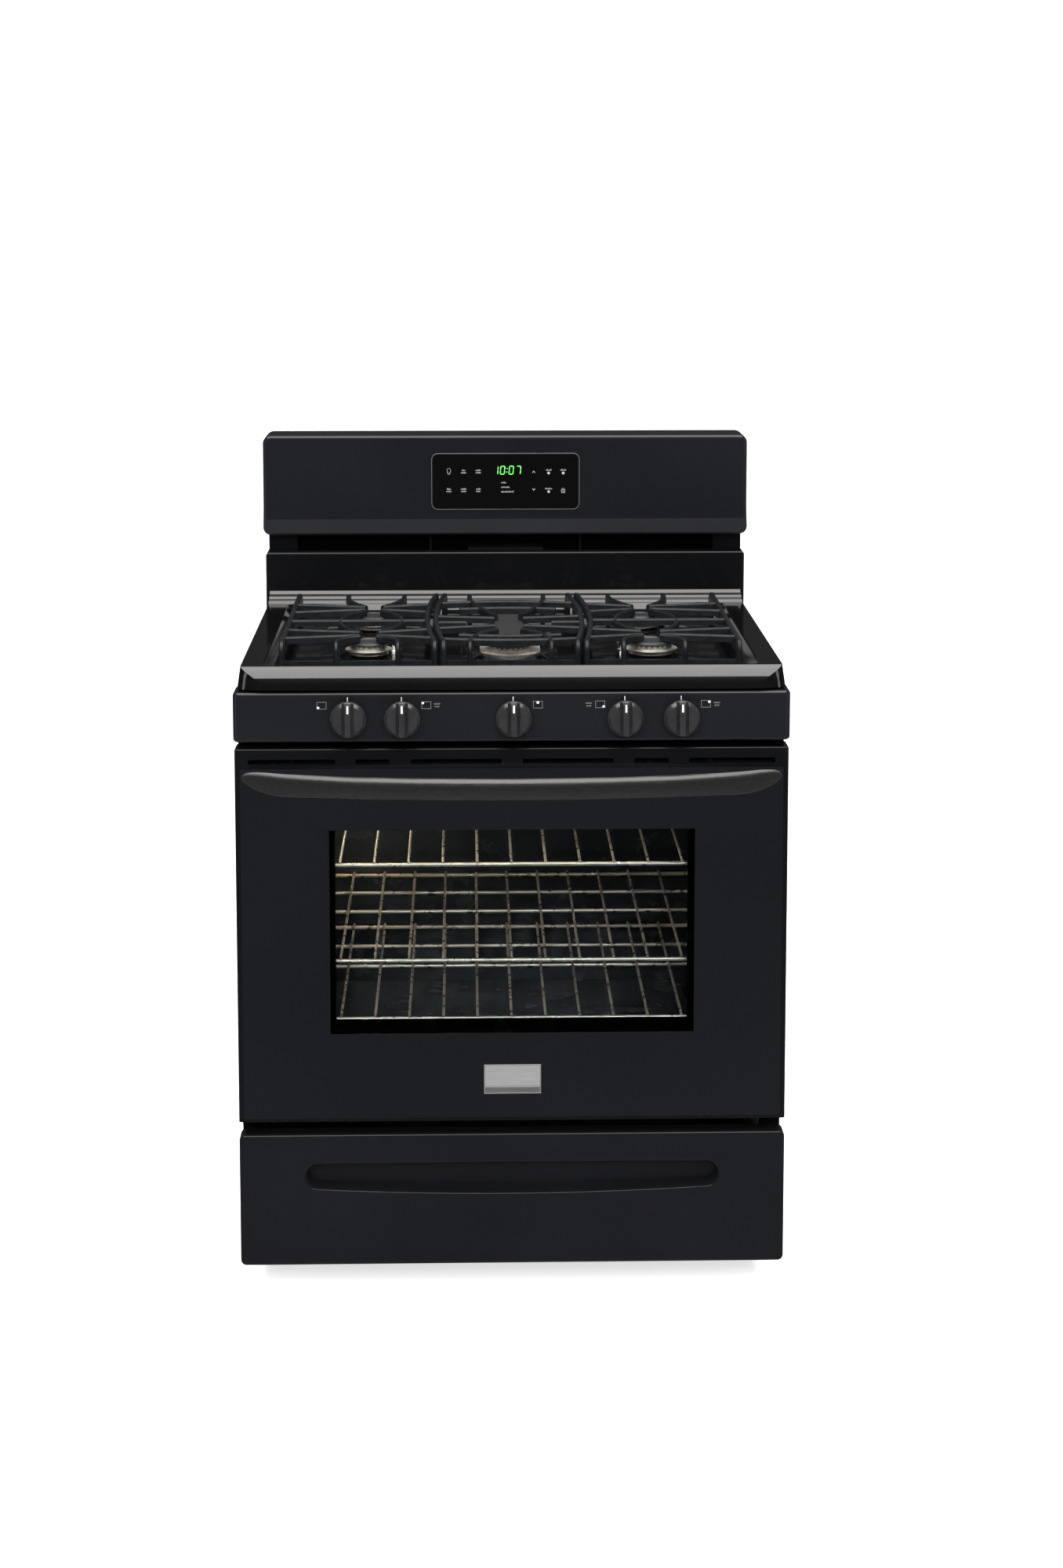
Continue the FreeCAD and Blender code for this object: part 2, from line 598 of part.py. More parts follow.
def burner_head(x, y, cap_r):
    """Aluminium head: bell, flange, drum and a ring of flame ports under the cap."""
    drum = cap_r - 1.5
    rim = cap_r + HEAD_FLANGE
    seat = WELL_Z + SEAT_RISE
    head = turned([(10, NECK_Z), (HEAD_NECK_R, NECK_Z), (HEAD_NECK_R, seat), (cap_r - 3, seat),
                   (cap_r + 1.5, seat + 3), (cap_r, HEAD_Z - 0.8), (rim - 0.8, HEAD_Z), (rim, HEAD_Z + 0.7),
                   (rim - 0.4, HEAD_Z + 1.8), (drum + 1, HEAD_Z + 3), (drum, CAP_Z), (10, CAP_Z)],
                  (x, y, 0))
    ports = []
    count = int(cap_r * 0.8)
    port = block((drum - 6, drum + 2), (-0.9, 0.9), (CAP_Z - 2.6, CAP_Z + 1))
    for k in range(count):
        turned_port = port.copy()
        turned_port.rotate(V(0, 0, 0), Z_AXIS, 360.0 * k / count)
        ports.append(turned_port.translated(V(x, y, 0)))
    return head.cut(Part.makeCompound(ports))


def oval_head():
    """Long centre burner head with ports along its sides and round its ends."""
    centre = (0.0, OVAL_Y)
    flange = stadium(OVAL_R + 13, OVAL_HALF_LENGTH + 13, centre, (OVAL_SEAT_Z, OVAL_SEAT_Z + 3))
    drum = stadium(OVAL_R - 1.5, OVAL_HALF_LENGTH - 1.5, centre, (OVAL_SEAT_Z, CAP_Z))
    neck = rod(HEAD_NECK_R, (0, OVAL_Y, NECK_Z), (0, OVAL_Y, OVAL_SEAT_Z + 1))
    throat = rod(10, (0, OVAL_Y, NECK_Z - 1), (0, OVAL_Y, CAP_Z + 1))
    head = fused([flange, drum, neck]).cut(throat)
    z = (CAP_Z - 2.6, CAP_Z + 1)
    straight = OVAL_HALF_LENGTH - OVAL_R
    cuts = []
    rows = 18
    for k in range(rows + 1):
        y = OVAL_Y - straight + 2 * straight * k / rows
        for side in (-1, 1):
            x = sorted((side * (OVAL_R - 7), side * (OVAL_R + 1)))
            cuts.append(block(x, (y - 0.9, y + 0.9), z))
    for end in (-1, 1):
        for k in range(1, 11):
            port = block((OVAL_R - 7, OVAL_R + 1), (-0.9, 0.9), z)
            port.rotate(V(0, 0, 0), Z_AXIS, end * 180.0 * k / 11)
            cuts.append(port.translated(V(0, OVAL_Y + end * straight, 0)))
    return head.cut(Part.makeCompound(cuts))


def burner_cap(x, y, r):
    lip, top = CAP_Z, CAP_Z + CAP_THICK
    return turned([(0, lip), (r - 0.8, lip), (r, lip + 0.8), (r, top - 3), (r - 0.9, top - 1),
                   (r - 3.2, top), (r - 9, top), (r - 10, top - 0.7), (0, top - 0.7)], (x, y, 0))


def oval_cap():
    cap = stadium(OVAL_R, OVAL_HALF_LENGTH, (0.0, OVAL_Y), (CAP_Z, CAP_Z + CAP_THICK))
    upper = [e for e in cap.Edges if e.BoundBox.ZMin > CAP_Z + CAP_THICK - 0.1]
    return cap.makeFillet(2.6, upper)


def igniters():
    """Ceramic spark electrodes beside the burner heads."""
    sparks = []
    places = [(x, y, cap_r + HEAD_FLANGE + 4.4) for name, x, y, cap_r in ROUND_BURNERS]
    for x, y, reach in places:
        angle = math.radians(20 if x < 0 else 190)
        px, py = x + reach * math.cos(angle), y + reach * math.sin(angle)
        sparks.append(turned([(0, 0), (4, 0), (4, 4), (2.6, 5), (2.6, 15), (1, 15.5), (1, 18.5), (0, 18.5)],
                             (px, py, WELL_Z + SEAT_RISE)))
    return sparks


def gas_manifold():
    """Pipe across the range that feeds the burner valves, and the riser from the regulator."""
    pipe = rod(MANIFOLD_R, (-300, MANIFOLD_Y, KNOB_Z), (330, MANIFOLD_Y, KNOB_Z))
    caps = [rod(MANIFOLD_R + 3, (a, MANIFOLD_Y, KNOB_Z), (b, MANIFOLD_Y, KNOB_Z))
            for a, b in ((-306, -294), (324, 336))]
    return fused([pipe] + caps)


MANIFOLD_R = 9.0
MANIFOLD_Y = -224.0
VALVE_Y = (-266.0, -233.5)


def gas_valves():
    """Valve bodies on the manifold, one behind each knob."""
    valves = []
    for x in KNOB_X:
        body = rounded_block((x - 13, x + 13), VALVE_Y, (KNOB_Z - 13, KNOB_Z + 13), 4, Y_AXIS)
        saddle = rod(MANIFOLD_R + 0.2, (x - 20, MANIFOLD_Y, KNOB_Z), (x + 20, MANIFOLD_Y, KNOB_Z))
        bore = rod(STEM_R + STEM_CLEARANCE, (x, VALVE_Y[0] - 1, KNOB_Z), (x, VALVE_Y[1] - 5, KNOB_Z))
        valves.append(body.cut(saddle).cut(bore))
    return valves


def supply_tubes():
    """Aluminium gas tubes from the valves to the burners."""
    z_run, tubes = 862.0, []
    ends = {name: (x, y) for name, x, y, cap_r in ROUND_BURNERS}
    ends["centre"] = (0.0, OVAL_Y)
    order = ("front_left", "rear_left", "centre", "front_right", "rear_right")
    for x, name in zip(KNOB_X, order):
        bx, by = ends[name]
        turn_y = by - 70
        tubes.append(tube([(x, -241, KNOB_Z + 13), (x, -241, z_run - 1), (x, turn_y, z_run),
                           (bx, by - 20, z_run), (bx, by + 4, z_run)], 4.0, 9.0))
    return tubes


# ---------------------------------------------------------------- controls
def control_panel():
    """Hollow fascia that carries the knobs, open at the back."""
    y = (PANEL_Y, FRAME_Y)
    z = (PANEL_BOTTOM_Z, PANEL_TOP_Z)
    outer = rounded(block((-PANEL_HALF, PANEL_HALF), y, z), 9.0,
                    lambda m, way: along(way, Z_AXIS) and m.y < FRAME_Y - 1)
    outer = rounded(outer, 5.0, lambda m, way: along(way, X_AXIS) and m.y < FRAME_Y - 1)
    inner = block((-PANEL_HALF + 4, PANEL_HALF - 4), (PANEL_Y + 3, FRAME_Y + 1), (z[0] + 2, z[1] - 2))
    holes = [rod(STEM_R + 2, (x, PANEL_Y - 1, KNOB_Z), (x, PANEL_Y + 5, KNOB_Z)) for x in KNOB_X]
    return outer.cut(inner).cut(Part.makeCompound(holes))


STEM_FRONT_Y = -320.0
KNOB_FACE = 14.5          # height of the knob's face above its back
RIDGE_WIDTH = 8.4
RIDGE_HEIGHT = 4.5
GROOVE_WIDTH = 4.2
GROOVE_DEPTH = 6.0


def valve_stem(x):
    """Stem that turns in its valve; the knob slides on its front end."""
    shaft = rod(STEM_R, (x, STEM_FRONT_Y, KNOB_Z), (x, VALVE_Y[1] - 6, KNOB_Z))
    collar = rod(7.0, (x, VALVE_Y[0] - 8, KNOB_Z), (x, VALVE_Y[0] - GAP, KNOB_Z))
    return fused([shaft, collar])


def knob(x):
    """Disc with a bevelled edge and two deep grooves that leave a finger ridge across its face."""
    disc = turned([(0, 0), (KNOB_R, 0), (KNOB_R, 6.5), (KNOB_R - 0.8, 8.4), (KNOB_R - 4.4, KNOB_FACE),
                   (0, KNOB_FACE)], (x, KNOB_BACK_Y, KNOB_Z), V(0, -1, 0))
    face_y = KNOB_BACK_Y - KNOB_FACE
    grooves = []
    for side in (-1, 1):
        near = side * RIDGE_WIDTH / 2
        far = near + side * GROOVE_WIDTH
        groove = block(sorted((x + near, x + far)), (face_y - 1, face_y + GROOVE_DEPTH),
                       (KNOB_Z - KNOB_R, KNOB_Z + KNOB_R))
        grooves.append(groove)
    ridge = block((x - RIDGE_WIDTH / 2, x + RIDGE_WIDTH / 2), (face_y - RIDGE_HEIGHT, face_y + 2),
                  (KNOB_Z - KNOB_R, KNOB_Z + KNOB_R))
    ridge = rounded(ridge, 1.6, lambda m, way: along(way, Z_AXIS) and m.y < face_y)
    envelope = turned([(0, 0), (KNOB_R - 0.6, 0), (KNOB_R - 1.2, KNOB_FACE),
                       (KNOB_R - 3.2, KNOB_FACE + RIDGE_HEIGHT), (0, KNOB_FACE + RIDGE_HEIGHT)],
                      (x, KNOB_BACK_Y, KNOB_Z), V(0, -1, 0))
    bore = rod(STEM_R + STEM_CLEARANCE, (x, STEM_FRONT_Y - 4, KNOB_Z), (x, KNOB_BACK_Y + 1, KNOB_Z))
    return fused([disc.cut(Part.makeCompound(grooves)), ridge.common(envelope)]).cut(bore)


# ---------------------------------------------------------------- backguard
CONSOLE_CORNER = 13.0
CONSOLE_RIM_FILLET = 6.0
CONSOLE_BAND_HEIGHT = 24.0
RISER_CORNER = 9.0


def on_console_rim(edge):
    """Front edges along the top, the sides and the upper corners of the console."""
    box = edge.BoundBox
    front = box.YMax < CONSOLE_Y + 2 and box.ZMin > CONSOLE_BOTTOM_Z + CONSOLE_BAND_HEIGHT - 1
    upper = box.ZMax > TOP_Z - CONSOLE_CORNER - 1
    side = box.XMin > FRONT_HALF - 0.1 or box.XMax < -FRONT_HALF + 0.1
    return front and (upper or side)


def backguard_console():
    """Control housing: flat front with a flared lower band, open at the back."""
    back = BACK_Y - 2.5
    band = 7.0
    outline = [(back, CONSOLE_BOTTOM_Z), (CONSOLE_Y - band + 3, CONSOLE_BOTTOM_Z),
               (CONSOLE_Y - band, CONSOLE_BOTTOM_Z + 3), (CONSOLE_Y, CONSOLE_BOTTOM_Z + CONSOLE_BAND_HEIGHT),
               (CONSOLE_Y + 1.5, TOP_Z), (back, TOP_Z)]
    solid = prism(outline, (-FRONT_HALF, FRONT_HALF))
    mask = rounded_block((-FRONT_HALF, FRONT_HALF), (CONSOLE_Y - 20, back),
                         (CONSOLE_BOTTOM_Z, TOP_Z), CONSOLE_CORNER, Y_AXIS)
    solid = solid.common(mask)
    solid = solid.makeFillet(CONSOLE_RIM_FILLET, [e for e in solid.Edges if on_console_rim(e)])
    wall = 2.0
    hollow = [(back + 1, CONSOLE_BOTTOM_Z + wall), (CONSOLE_Y + 4, CONSOLE_BOTTOM_Z + wall),
              (CONSOLE_Y + 4, TOP_Z - 6), (CONSOLE_Y + 10, TOP_Z - wall), (back + 1, TOP_Z - wall)]
    return solid.cut(prism(hollow, (-FRONT_HALF + 6, FRONT_HALF - 6)))


def backguard_riser():
    """Lower backguard panel, with the posts that hold the console clear of the flue slot."""
    back = BACK_Y - 2.5
    half = SIDE_HALF - 1.0
    outer = rounded(block((-half, half), (RISER_Y, back), (COOKTOP_BOTTOM_Z, RISER_TOP_Z)), 7.0,
                    lambda m, way: along(way, X_AXIS) and m.z > RISER_TOP_Z - 1 and m.y < back - 1)
    outer = rounded(outer, 4.0, lambda m, way: along(way, Z_AXIS) and m.y < RISER_Y + 1)
    outer = outer.common(rounded_block((-half, half), (RISER_Y - 1, back),
                                       (COOKTOP_BOTTOM_Z - 20, RISER_TOP_Z), RISER_CORNER, Y_AXIS))
    inner = block((-half + 2, half - 2), (RISER_Y + 2, back + 1), (COOKTOP_BOTTOM_Z - 1, RISER_TOP_Z - 4))
    shell = outer.cut(inner)
    flue = block((-FLUE_HALF - 3, FLUE_HALF + 3), (FLUE_DUCT_Y[0] - 2, FLUE_DUCT_Y[1] + 2),
                 (RISER_TOP_Z - 9, RISER_TOP_Z + 1))
    posts = []
    for x in (-118, 118):
        posts.append(block((x - 2, x + 2), (RISER_Y + 8, back), (RISER_TOP_Z - 2, CONSOLE_BOTTOM_Z)))
    for x in (-350, 350):
        posts.append(block((x - 22, x + 22), (RISER_Y + 14, back), (RISER_TOP_Z - 2, CONSOLE_BOTTOM_Z)))
    return fused([shell.cut(flue)] + posts)


def backguard_cover():
    """Sheet that closes the back of the backguard."""
    y = (BACK_Y - 2.5, BACK_Y)
    z = (COOKTOP_BOTTOM_Z + 2, TOP_Z - 3)
    sheet = rounded_block((-FRONT_HALF + 3, FRONT_HALF - 3), y, z, 9, Y_AXIS)
    slot = rounded_block((-3, 3), (y[0] - 1, y[1] + 1), (0, 36), 2.9, Y_AXIS)
    cuts = [slot.translated(V(k * 20.0, 0, 1080.0)) for k in range(-6, 7)]
    return sheet.cut(Part.makeCompound(cuts))


def display_glass():
    half = 115.0
    y = (CONSOLE_Y - 1.6, CONSOLE_Y + 0.0)
    plate = rounded_block((-half, half), y, (1052, 1139), 9, Y_AXIS)
    return rounded_rim(plate, 0.8, y[0])


def rounded_rim(plate, radius, y):
    """Rounds the outer edge of a plate's front face."""
    edges = [e for e in plate.Edges if e.BoundBox.YMax < y + 0.01]
    return plate.makeFillet(radius, edges)


# ---------------------------------------------------------------- door
def window_block(margin, y):
    return block((-WINDOW_HALF - margin, WINDOW_HALF + margin), y,
                 (WINDOW_Z[0] - margin, WINDOW_Z[1] + margin))


def hinge_notches(y, z):
    return both_sides(block((HINGE_X - 7, HINGE_X + 7), y, z))


def door_frame():
    """Painted outer panel: rounded sides, vented top, and a recess for the glass front."""
    y = (FRONT_Y, DOOR_BACK_Y - 4)
    outer = block((-FRONT_HALF, FRONT_HALF), y, (DOOR_BOTTOM_Z, DOOR_TOP_Z))
    outer = rounded(outer, 4.0, lambda m, way: along(way, Z_AXIS) and m.y < FRONT_Y + 1)
    outer = rounded(outer, 3.0, lambda m, way: along(way, X_AXIS) and m.y < FRONT_Y + 1
                    and m.z > DOOR_TOP_Z - 1)
    glass_back = FRONT_Y + GLASS_THICK + 0.4
    recess = block((-GLASS_HALF - 0.2, GLASS_HALF + 0.2), (FRONT_Y - 1, glass_back),
                   (GLASS_Z[0] - 0.2, GLASS_Z[1] + 0.2))
    hollow = block((-FRONT_HALF + 2, FRONT_HALF - 2), (glass_back + 1.5, y[1] + 1),
                   (DOOR_BOTTOM_Z + 1.5, DOOR_TOP_Z - 2))
    cuts = [recess, hollow, window_block(10, (FRONT_Y - 1, y[1] + 1))]
    for near, far in VENT_SPANS:
        vent = rounded_block((near, far), (FRONT_Y - 1, glass_back + 3), VENT_Z, 2.5, Y_AXIS)
        cuts += both_sides(vent)
    cuts += hinge_notches((HINGE_Y - 16, y[1] + 1), (DOOR_BOTTOM_Z - 1, DOOR_BOTTOM_Z + 3))
    return outer.cut(Part.makeCompound(cuts))


def door_outer_glass():
    return block((-GLASS_HALF, GLASS_HALF), (FRONT_Y, FRONT_Y + GLASS_THICK), GLASS_Z)


def door_glass_print():
    """Black enamel printed on the back of the glass, round the clear window."""
    y = (FRONT_Y + GLASS_THICK, FRONT_Y + GLASS_THICK + 0.4)
    sheet = block((-GLASS_HALF, GLASS_HALF), y, GLASS_Z)
    return sheet.cut(window_block(0, (y[0] - 1, y[1] + 1)))


def door_inner_panel():
    """Enamelled liner: a shallow plug that enters the oven's mouth, and a folded window tunnel."""
    y = (DOOR_BACK_Y - 4, DOOR_BACK_Y)
    plate = rounded_block((-360, 360), y, (284, 785), 12, Y_AXIS)
    plug = rounded_block((-294, 294), (y[0], DOOR_BACK_Y + 13), (308, 752), 14, Y_AXIS)
    plug = plug.cut(block((-292, 292), (y[0] - 1, DOOR_BACK_Y + 11.5), (310, 750)))
    glass = window_block(-6, (y[0] - 1, DOOR_BACK_Y + 20))
    dish = block((-292, 292), (y[0] - 1, y[1] + 1), (310, 750))
    tunnel_y = (FRONT_Y + 6.2, DOOR_BACK_Y + 12)
    tunnel = window_block(15.5, tunnel_y).cut(window_block(14.3, (tunnel_y[0] - 1, tunnel_y[1] + 1)))
    panel = fused([plate.cut(dish), plug, tunnel]).cut(glass)
    return panel.cut(Part.makeCompound(hinge_notches((y[0] - 1, y[1] + 1), (280, 297))))


def door_inner_glass():
    y_back = DOOR_BACK_Y + 11.5
    return window_block(14, (y_back - 4, y_back))


def door_insulation():
    y = (FRONT_Y + 6.5, DOOR_BACK_Y - 4.5)
    return block((-318, 318), y, (300, 762)).cut(window_block(16, (y[0] - 1, y[1] + 1)))


def door_hinges():
    """Hinge pins with their lugs in the door."""
    pin = rod(HINGE_PIN_R, (HINGE_X - 8, HINGE_Y, HINGE_Z), (HINGE_X + 8, HINGE_Y, HINGE_Z))
    lugs = [block((HINGE_X + a, HINGE_X + a + 4), (HINGE_Y - 16, HINGE_Y + 7),
                  (DOOR_BOTTOM_Z + 1.5, HINGE_Z + 14)) for a in (-12, 8)]
    return both_sides(fused([pin] + lugs))


def door_gasket():
    """Woven seal round the oven's mouth, laid on the door's liner."""
    y = (DOOR_BACK_Y, FRAME_Y - 0.5)
    outer = rounded_block((-323, 323), y, (284, 781), 18, Y_AXIS)
    inner = rounded_block((-314, 314), (y[0] - 1, y[1] + 1), (293, 772), 10, Y_AXIS)
    ring = outer.cut(inner)
    edges = [e for e in ring.Edges if e.BoundBox.YMin > y[1] - 0.01]
    return ring.makeFillet(3.0, edges)


def handle_axis_y(x):
    """Depth of the handle's centre line, an even bow from end to end."""
    end, middle = FRONT_Y - 4.2, HANDLE_Y + HANDLE_DEPTH / 2
    return end + (middle - end) * (1 - (x / HANDLE_HALF) ** 2)


def handle_section(x):
    """Section of the bar: sloping upper face, upright front and round back; the ends are leaf tips."""
    share = 1 - (abs(x) / HANDLE_HALF) ** 2
    out = max(0.0, (abs(x) - TIP_START) / (HANDLE_HALF - TIP_START))
    taper = math.sqrt(max(0.0, 1 - out ** 2))
    half_height = (HANDLE_HEIGHT + 2.4 * (1 - share)) / 2 * max(taper, 0.07)
    half_depth = 3.4 + (HANDLE_DEPTH / 2 - 3.4) * min(1.0, share * 1.6)
    half_depth = min(half_depth, half_height * 0.98)
    centre = V(x, handle_axis_y(x), HANDLE_Z + TIP_RISE * out ** 1.5)
    spots = ((-0.98, 0.38), (-0.70, 0.78), (-0.1, 1.0), (1.0, 0.0), (0.1, -1.0), (-0.5, -0.96),
             (-0.8, -0.8), (-0.97, -0.25))
    p = [centre + V(0, u * half_depth, w * half_height) for u, w in spots]
    arcs = [(p[0], p[1], p[2]), (p[2], p[3], p[4]), (p[4], p[5], p[6]), (p[6], p[7], p[0])]
    return Part.Wire([Part.Arc(*arc).toShape() for arc in arcs])


def door_handle():
    stations = 33
    places = [HANDLE_HALF * math.sin(math.pi / 2 * (2 * k / (stations - 1) - 1)) for k in range(stations)]
    return Part.makeLoft([handle_section(x) for x in places], True, False)


def door_handle_mounts(handle):
    """Posts between the handle's ends and the door."""
    posts = both_sides(rounded_block((296, 330), (FRONT_Y - 34, FRONT_Y), (HANDLE_Z - 9, HANDLE_Z + 9),
                                     4, Y_AXIS))
    result = []
    for post in posts:
        pieces = post.cut(handle).Solids
        result.append(max(pieces, key=lambda s: s.CenterOfMass.y))
    return result


def badge_plate():
    plate = block((-BADGE_HALF, BADGE_HALF), (FRONT_Y - 1.4, FRONT_Y), BADGE_Z)
    split = BADGE_Z[1] - 0.74 * (BADGE_Z[1] - BADGE_Z[0])
    groove = block((-BADGE_HALF - 1, BADGE_HALF + 1), (FRONT_Y - 2, FRONT_Y - 0.9), (split, split + 0.9))
    plate = plate.makeChamfer(0.5, [e for e in plate.Edges if e.BoundBox.YMax < FRONT_Y - 1.3])
    return plate.cut(groove)


# ---------------------------------------------------------------- drawer
def pocket_outline(grow, y):
    """Recess for the fingers: straight above, bowed below, with round ends."""
    half, low, high = POCKET_HALF + grow, POCKET_Z[0] - grow, POCKET_Z[1] + grow
    end_low, end_high = low + 11, high - 5
    inset = 14
    a, b = V(-half + inset, y, high - 0.8), V(half - inset, y, high - 0.8)
    right = V(half, y, (end_low + end_high) / 2 + 3)
    c, d = V(half - inset, y, end_low - 3), V(-half + inset, y, end_low - 3)
    left = V(-half, y, (end_low + end_high) / 2 + 3)
    return Part.Wire([Part.Arc(a, V(0, y, high), b).toShape(), Part.Arc(b, right, c).toShape(),
                      Part.Arc(c, V(0, y, low), d).toShape(), Part.Arc(d, left, a).toShape()])


def drawer_front():
    y = (FRONT_Y, DRAWER_BACK_Y)
    outer = rounded_block((-FRONT_HALF, FRONT_HALF), y, (FRONT_BOTTOM_Z, DRAWER_TOP_Z), 8, Y_AXIS)
    outer = outer.makeFillet(4.0, [e for e in outer.Edges if e.BoundBox.YMax < FRONT_Y + 0.01])
    wall = 2.0
    hollow = block((-FRONT_HALF + 4, FRONT_HALF - 4), (FRONT_Y + 3.5, y[1] - wall),
                   (FRONT_BOTTOM_Z + 4, DRAWER_TOP_Z - 4))
    cup = Part.Face(pocket_outline(wall + 2, FRONT_Y)).extrude(V(0, POCKET_DEPTH + wall, 0))
    pocket = Part.makeLoft([pocket_outline(0, FRONT_Y - 0.01), pocket_outline(-6, FRONT_Y + POCKET_DEPTH)],
                           True, True)
    front = outer.cut(hollow.cut(cup)).cut(pocket)
    lip = [e for e in front.Edges if e.BoundBox.YMax < FRONT_Y + 0.02 and e.BoundBox.YMin > FRONT_Y - 0.05
           and e.BoundBox.XMax < POCKET_HALF + 3 and e.BoundBox.XMin > -POCKET_HALF - 3]
    return front.makeFillet(2.2, lip)


def drawer_box():
    x = (-DRAWER_HALF, DRAWER_HALF)
    box = tray(x, (DRAWER_BACK_Y, DRAWER_END_Y), DRAWER_Z, SHEET, "+z")
    return box


def drawer_runners():
    """Moving halves of the drawer slides."""
    runner = block((DRAWER_HALF, 344.0), (FRAME_Y + 15, DRAWER_END_Y), (142, 158))
    tongue = block((343.5, 347.0), (FRAME_Y + 15, DRAWER_END_Y), (145.2, 154.8))
    return both_sides(fused([runner, tongue]))


# ---------------------------------------------------------------- oven racks
def oven_rack(z):
    """Chromed wire rack: round frame, cross bars, and wires that run front to back."""
    front, back, half = RACK_FRONT_Y, RACK_BACK_Y, RACK_HALF
    ring = [(0, front), (half, front), (half, back), (-half, back), (-half, front), (0, front)]
    rack = tube([(x, y, z) for x, y in ring], RACK_ROD_R, 14.0)
    for y in RACK_BAR_Y:
        rack = rack.fuse(rod(RACK_ROD_R - 0.3, (-half, y, z + 0.2), (half, y, z + 0.2)))
    wire_z = z + RACK_ROD_R + RACK_WIRE_R - 0.5
    for k in range(RACK_WIRES):
        x = (k - (RACK_WIRES - 1) / 2) * RACK_WIRE_PITCH
        wire = rod(RACK_WIRE_R, (x, front - 1.5, wire_z), (x, back + 2, wire_z))
        ends = [Part.makeSphere(RACK_WIRE_R, V(x, y, wire_z)) for y in (front - 1.5, back + 2)]
        rack = rack.fuse(wire.multiFuse(ends))
    return rack


# ---------------------------------------------------------------- grates
def bar_section(point, way, width, height):
    """Section of a cast bar, square to its run, with sloping shoulders."""
    side = Z_AXIS.cross(way)
    low, flat = width / 2, width / 2 - 2.2
    outline = [(-low, -height), (-low + 0.5, -2.4), (-flat, 0), (flat, 0), (low - 0.5, -2.4), (low, -height)]
    points = [point + side * u + V(0, 0, w) for u, w in outline]
    return Part.Face(Part.makePolygon(points + points[:1]))


def straight_bar(a, b, width, drop, height=BAR_HEIGHT):
    """Bar between two points in plan; drop is how far its top lies below the grate's top."""
    start, end = V(a[0], a[1], GRATE_TOP_Z - drop), V(b[0], b[1], GRATE_TOP_Z - drop)
    way = (end - start).normalize()
    return bar_section(start, way, width, height).extrude(V(b[0] - a[0], b[1] - a[1], 0))


def curved_bar(a, b, c, width, drop):
    """Bar along the arc through three points in plan."""
    points = [V(p[0], p[1], GRATE_TOP_Z - drop) for p in (a, b, c)]
    centre = Part.Arc(*points).toShape().Curve.Center
    spokes = [point - centre for point in points]
    turn = Z_AXIS if spokes[0].cross(spokes[1]).z > 0 else -Z_AXIS
    way = turn.cross(spokes[0]).normalize()
    angle = math.degrees(spokes[0].getAngle(spokes[1]) + spokes[1].getAngle(spokes[2]))
    return bar_section(points[0], way, width, BAR_HEIGHT).revolve(centre, turn, angle)


def foot(point, way, width, drop):
    """Bar end that bends down and stands on the floor of the well."""
    bend = 5.0
    way = V(way[0], way[1], 0)
    start = V(point[0], point[1], GRATE_TOP_Z - drop)
    side = Z_AXIS.cross(way)
    pivot = start - V(0, 0, BAR_HEIGHT + bend)
    section = bar_section(start, way, width, BAR_HEIGHT)
    elbow = section.revolve(pivot, side, 90)
    lower = section.copy()
    lower.rotate(pivot, side, 90)
    leg = lower.extrude(V(0, 0, WELL_Z + GAP - pivot.z))
    root = bar_section(start - way * 6.0, way, width, BAR_HEIGHT).extrude(way * 6.0)
    return root.multiFuse([elbow, leg])


def tie_bar(a, b):
    """Thin bar low down that ties the feet together."""
    return block(sorted((a[0], b[0])), (a[1] - 2.9, a[1] + 2.9), (WELL_Z + 1, WELL_Z + 7.1))


def foot_reach():
    return BAR_HEIGHT + 5.0


def bowed_x(y, front_x, middle_x, rear_x):
    """Distance from the middle at depth y of a bar that bows outwards."""
    reach = (GRATE_BACK_Y - GRATE_FRONT_Y) / 2
    share = (y - (GRATE_BACK_Y + GRATE_FRONT_Y) / 2) / reach
    end_x = rear_x if share > 0 else front_x
    return middle_x - (middle_x - end_x) * share ** 2


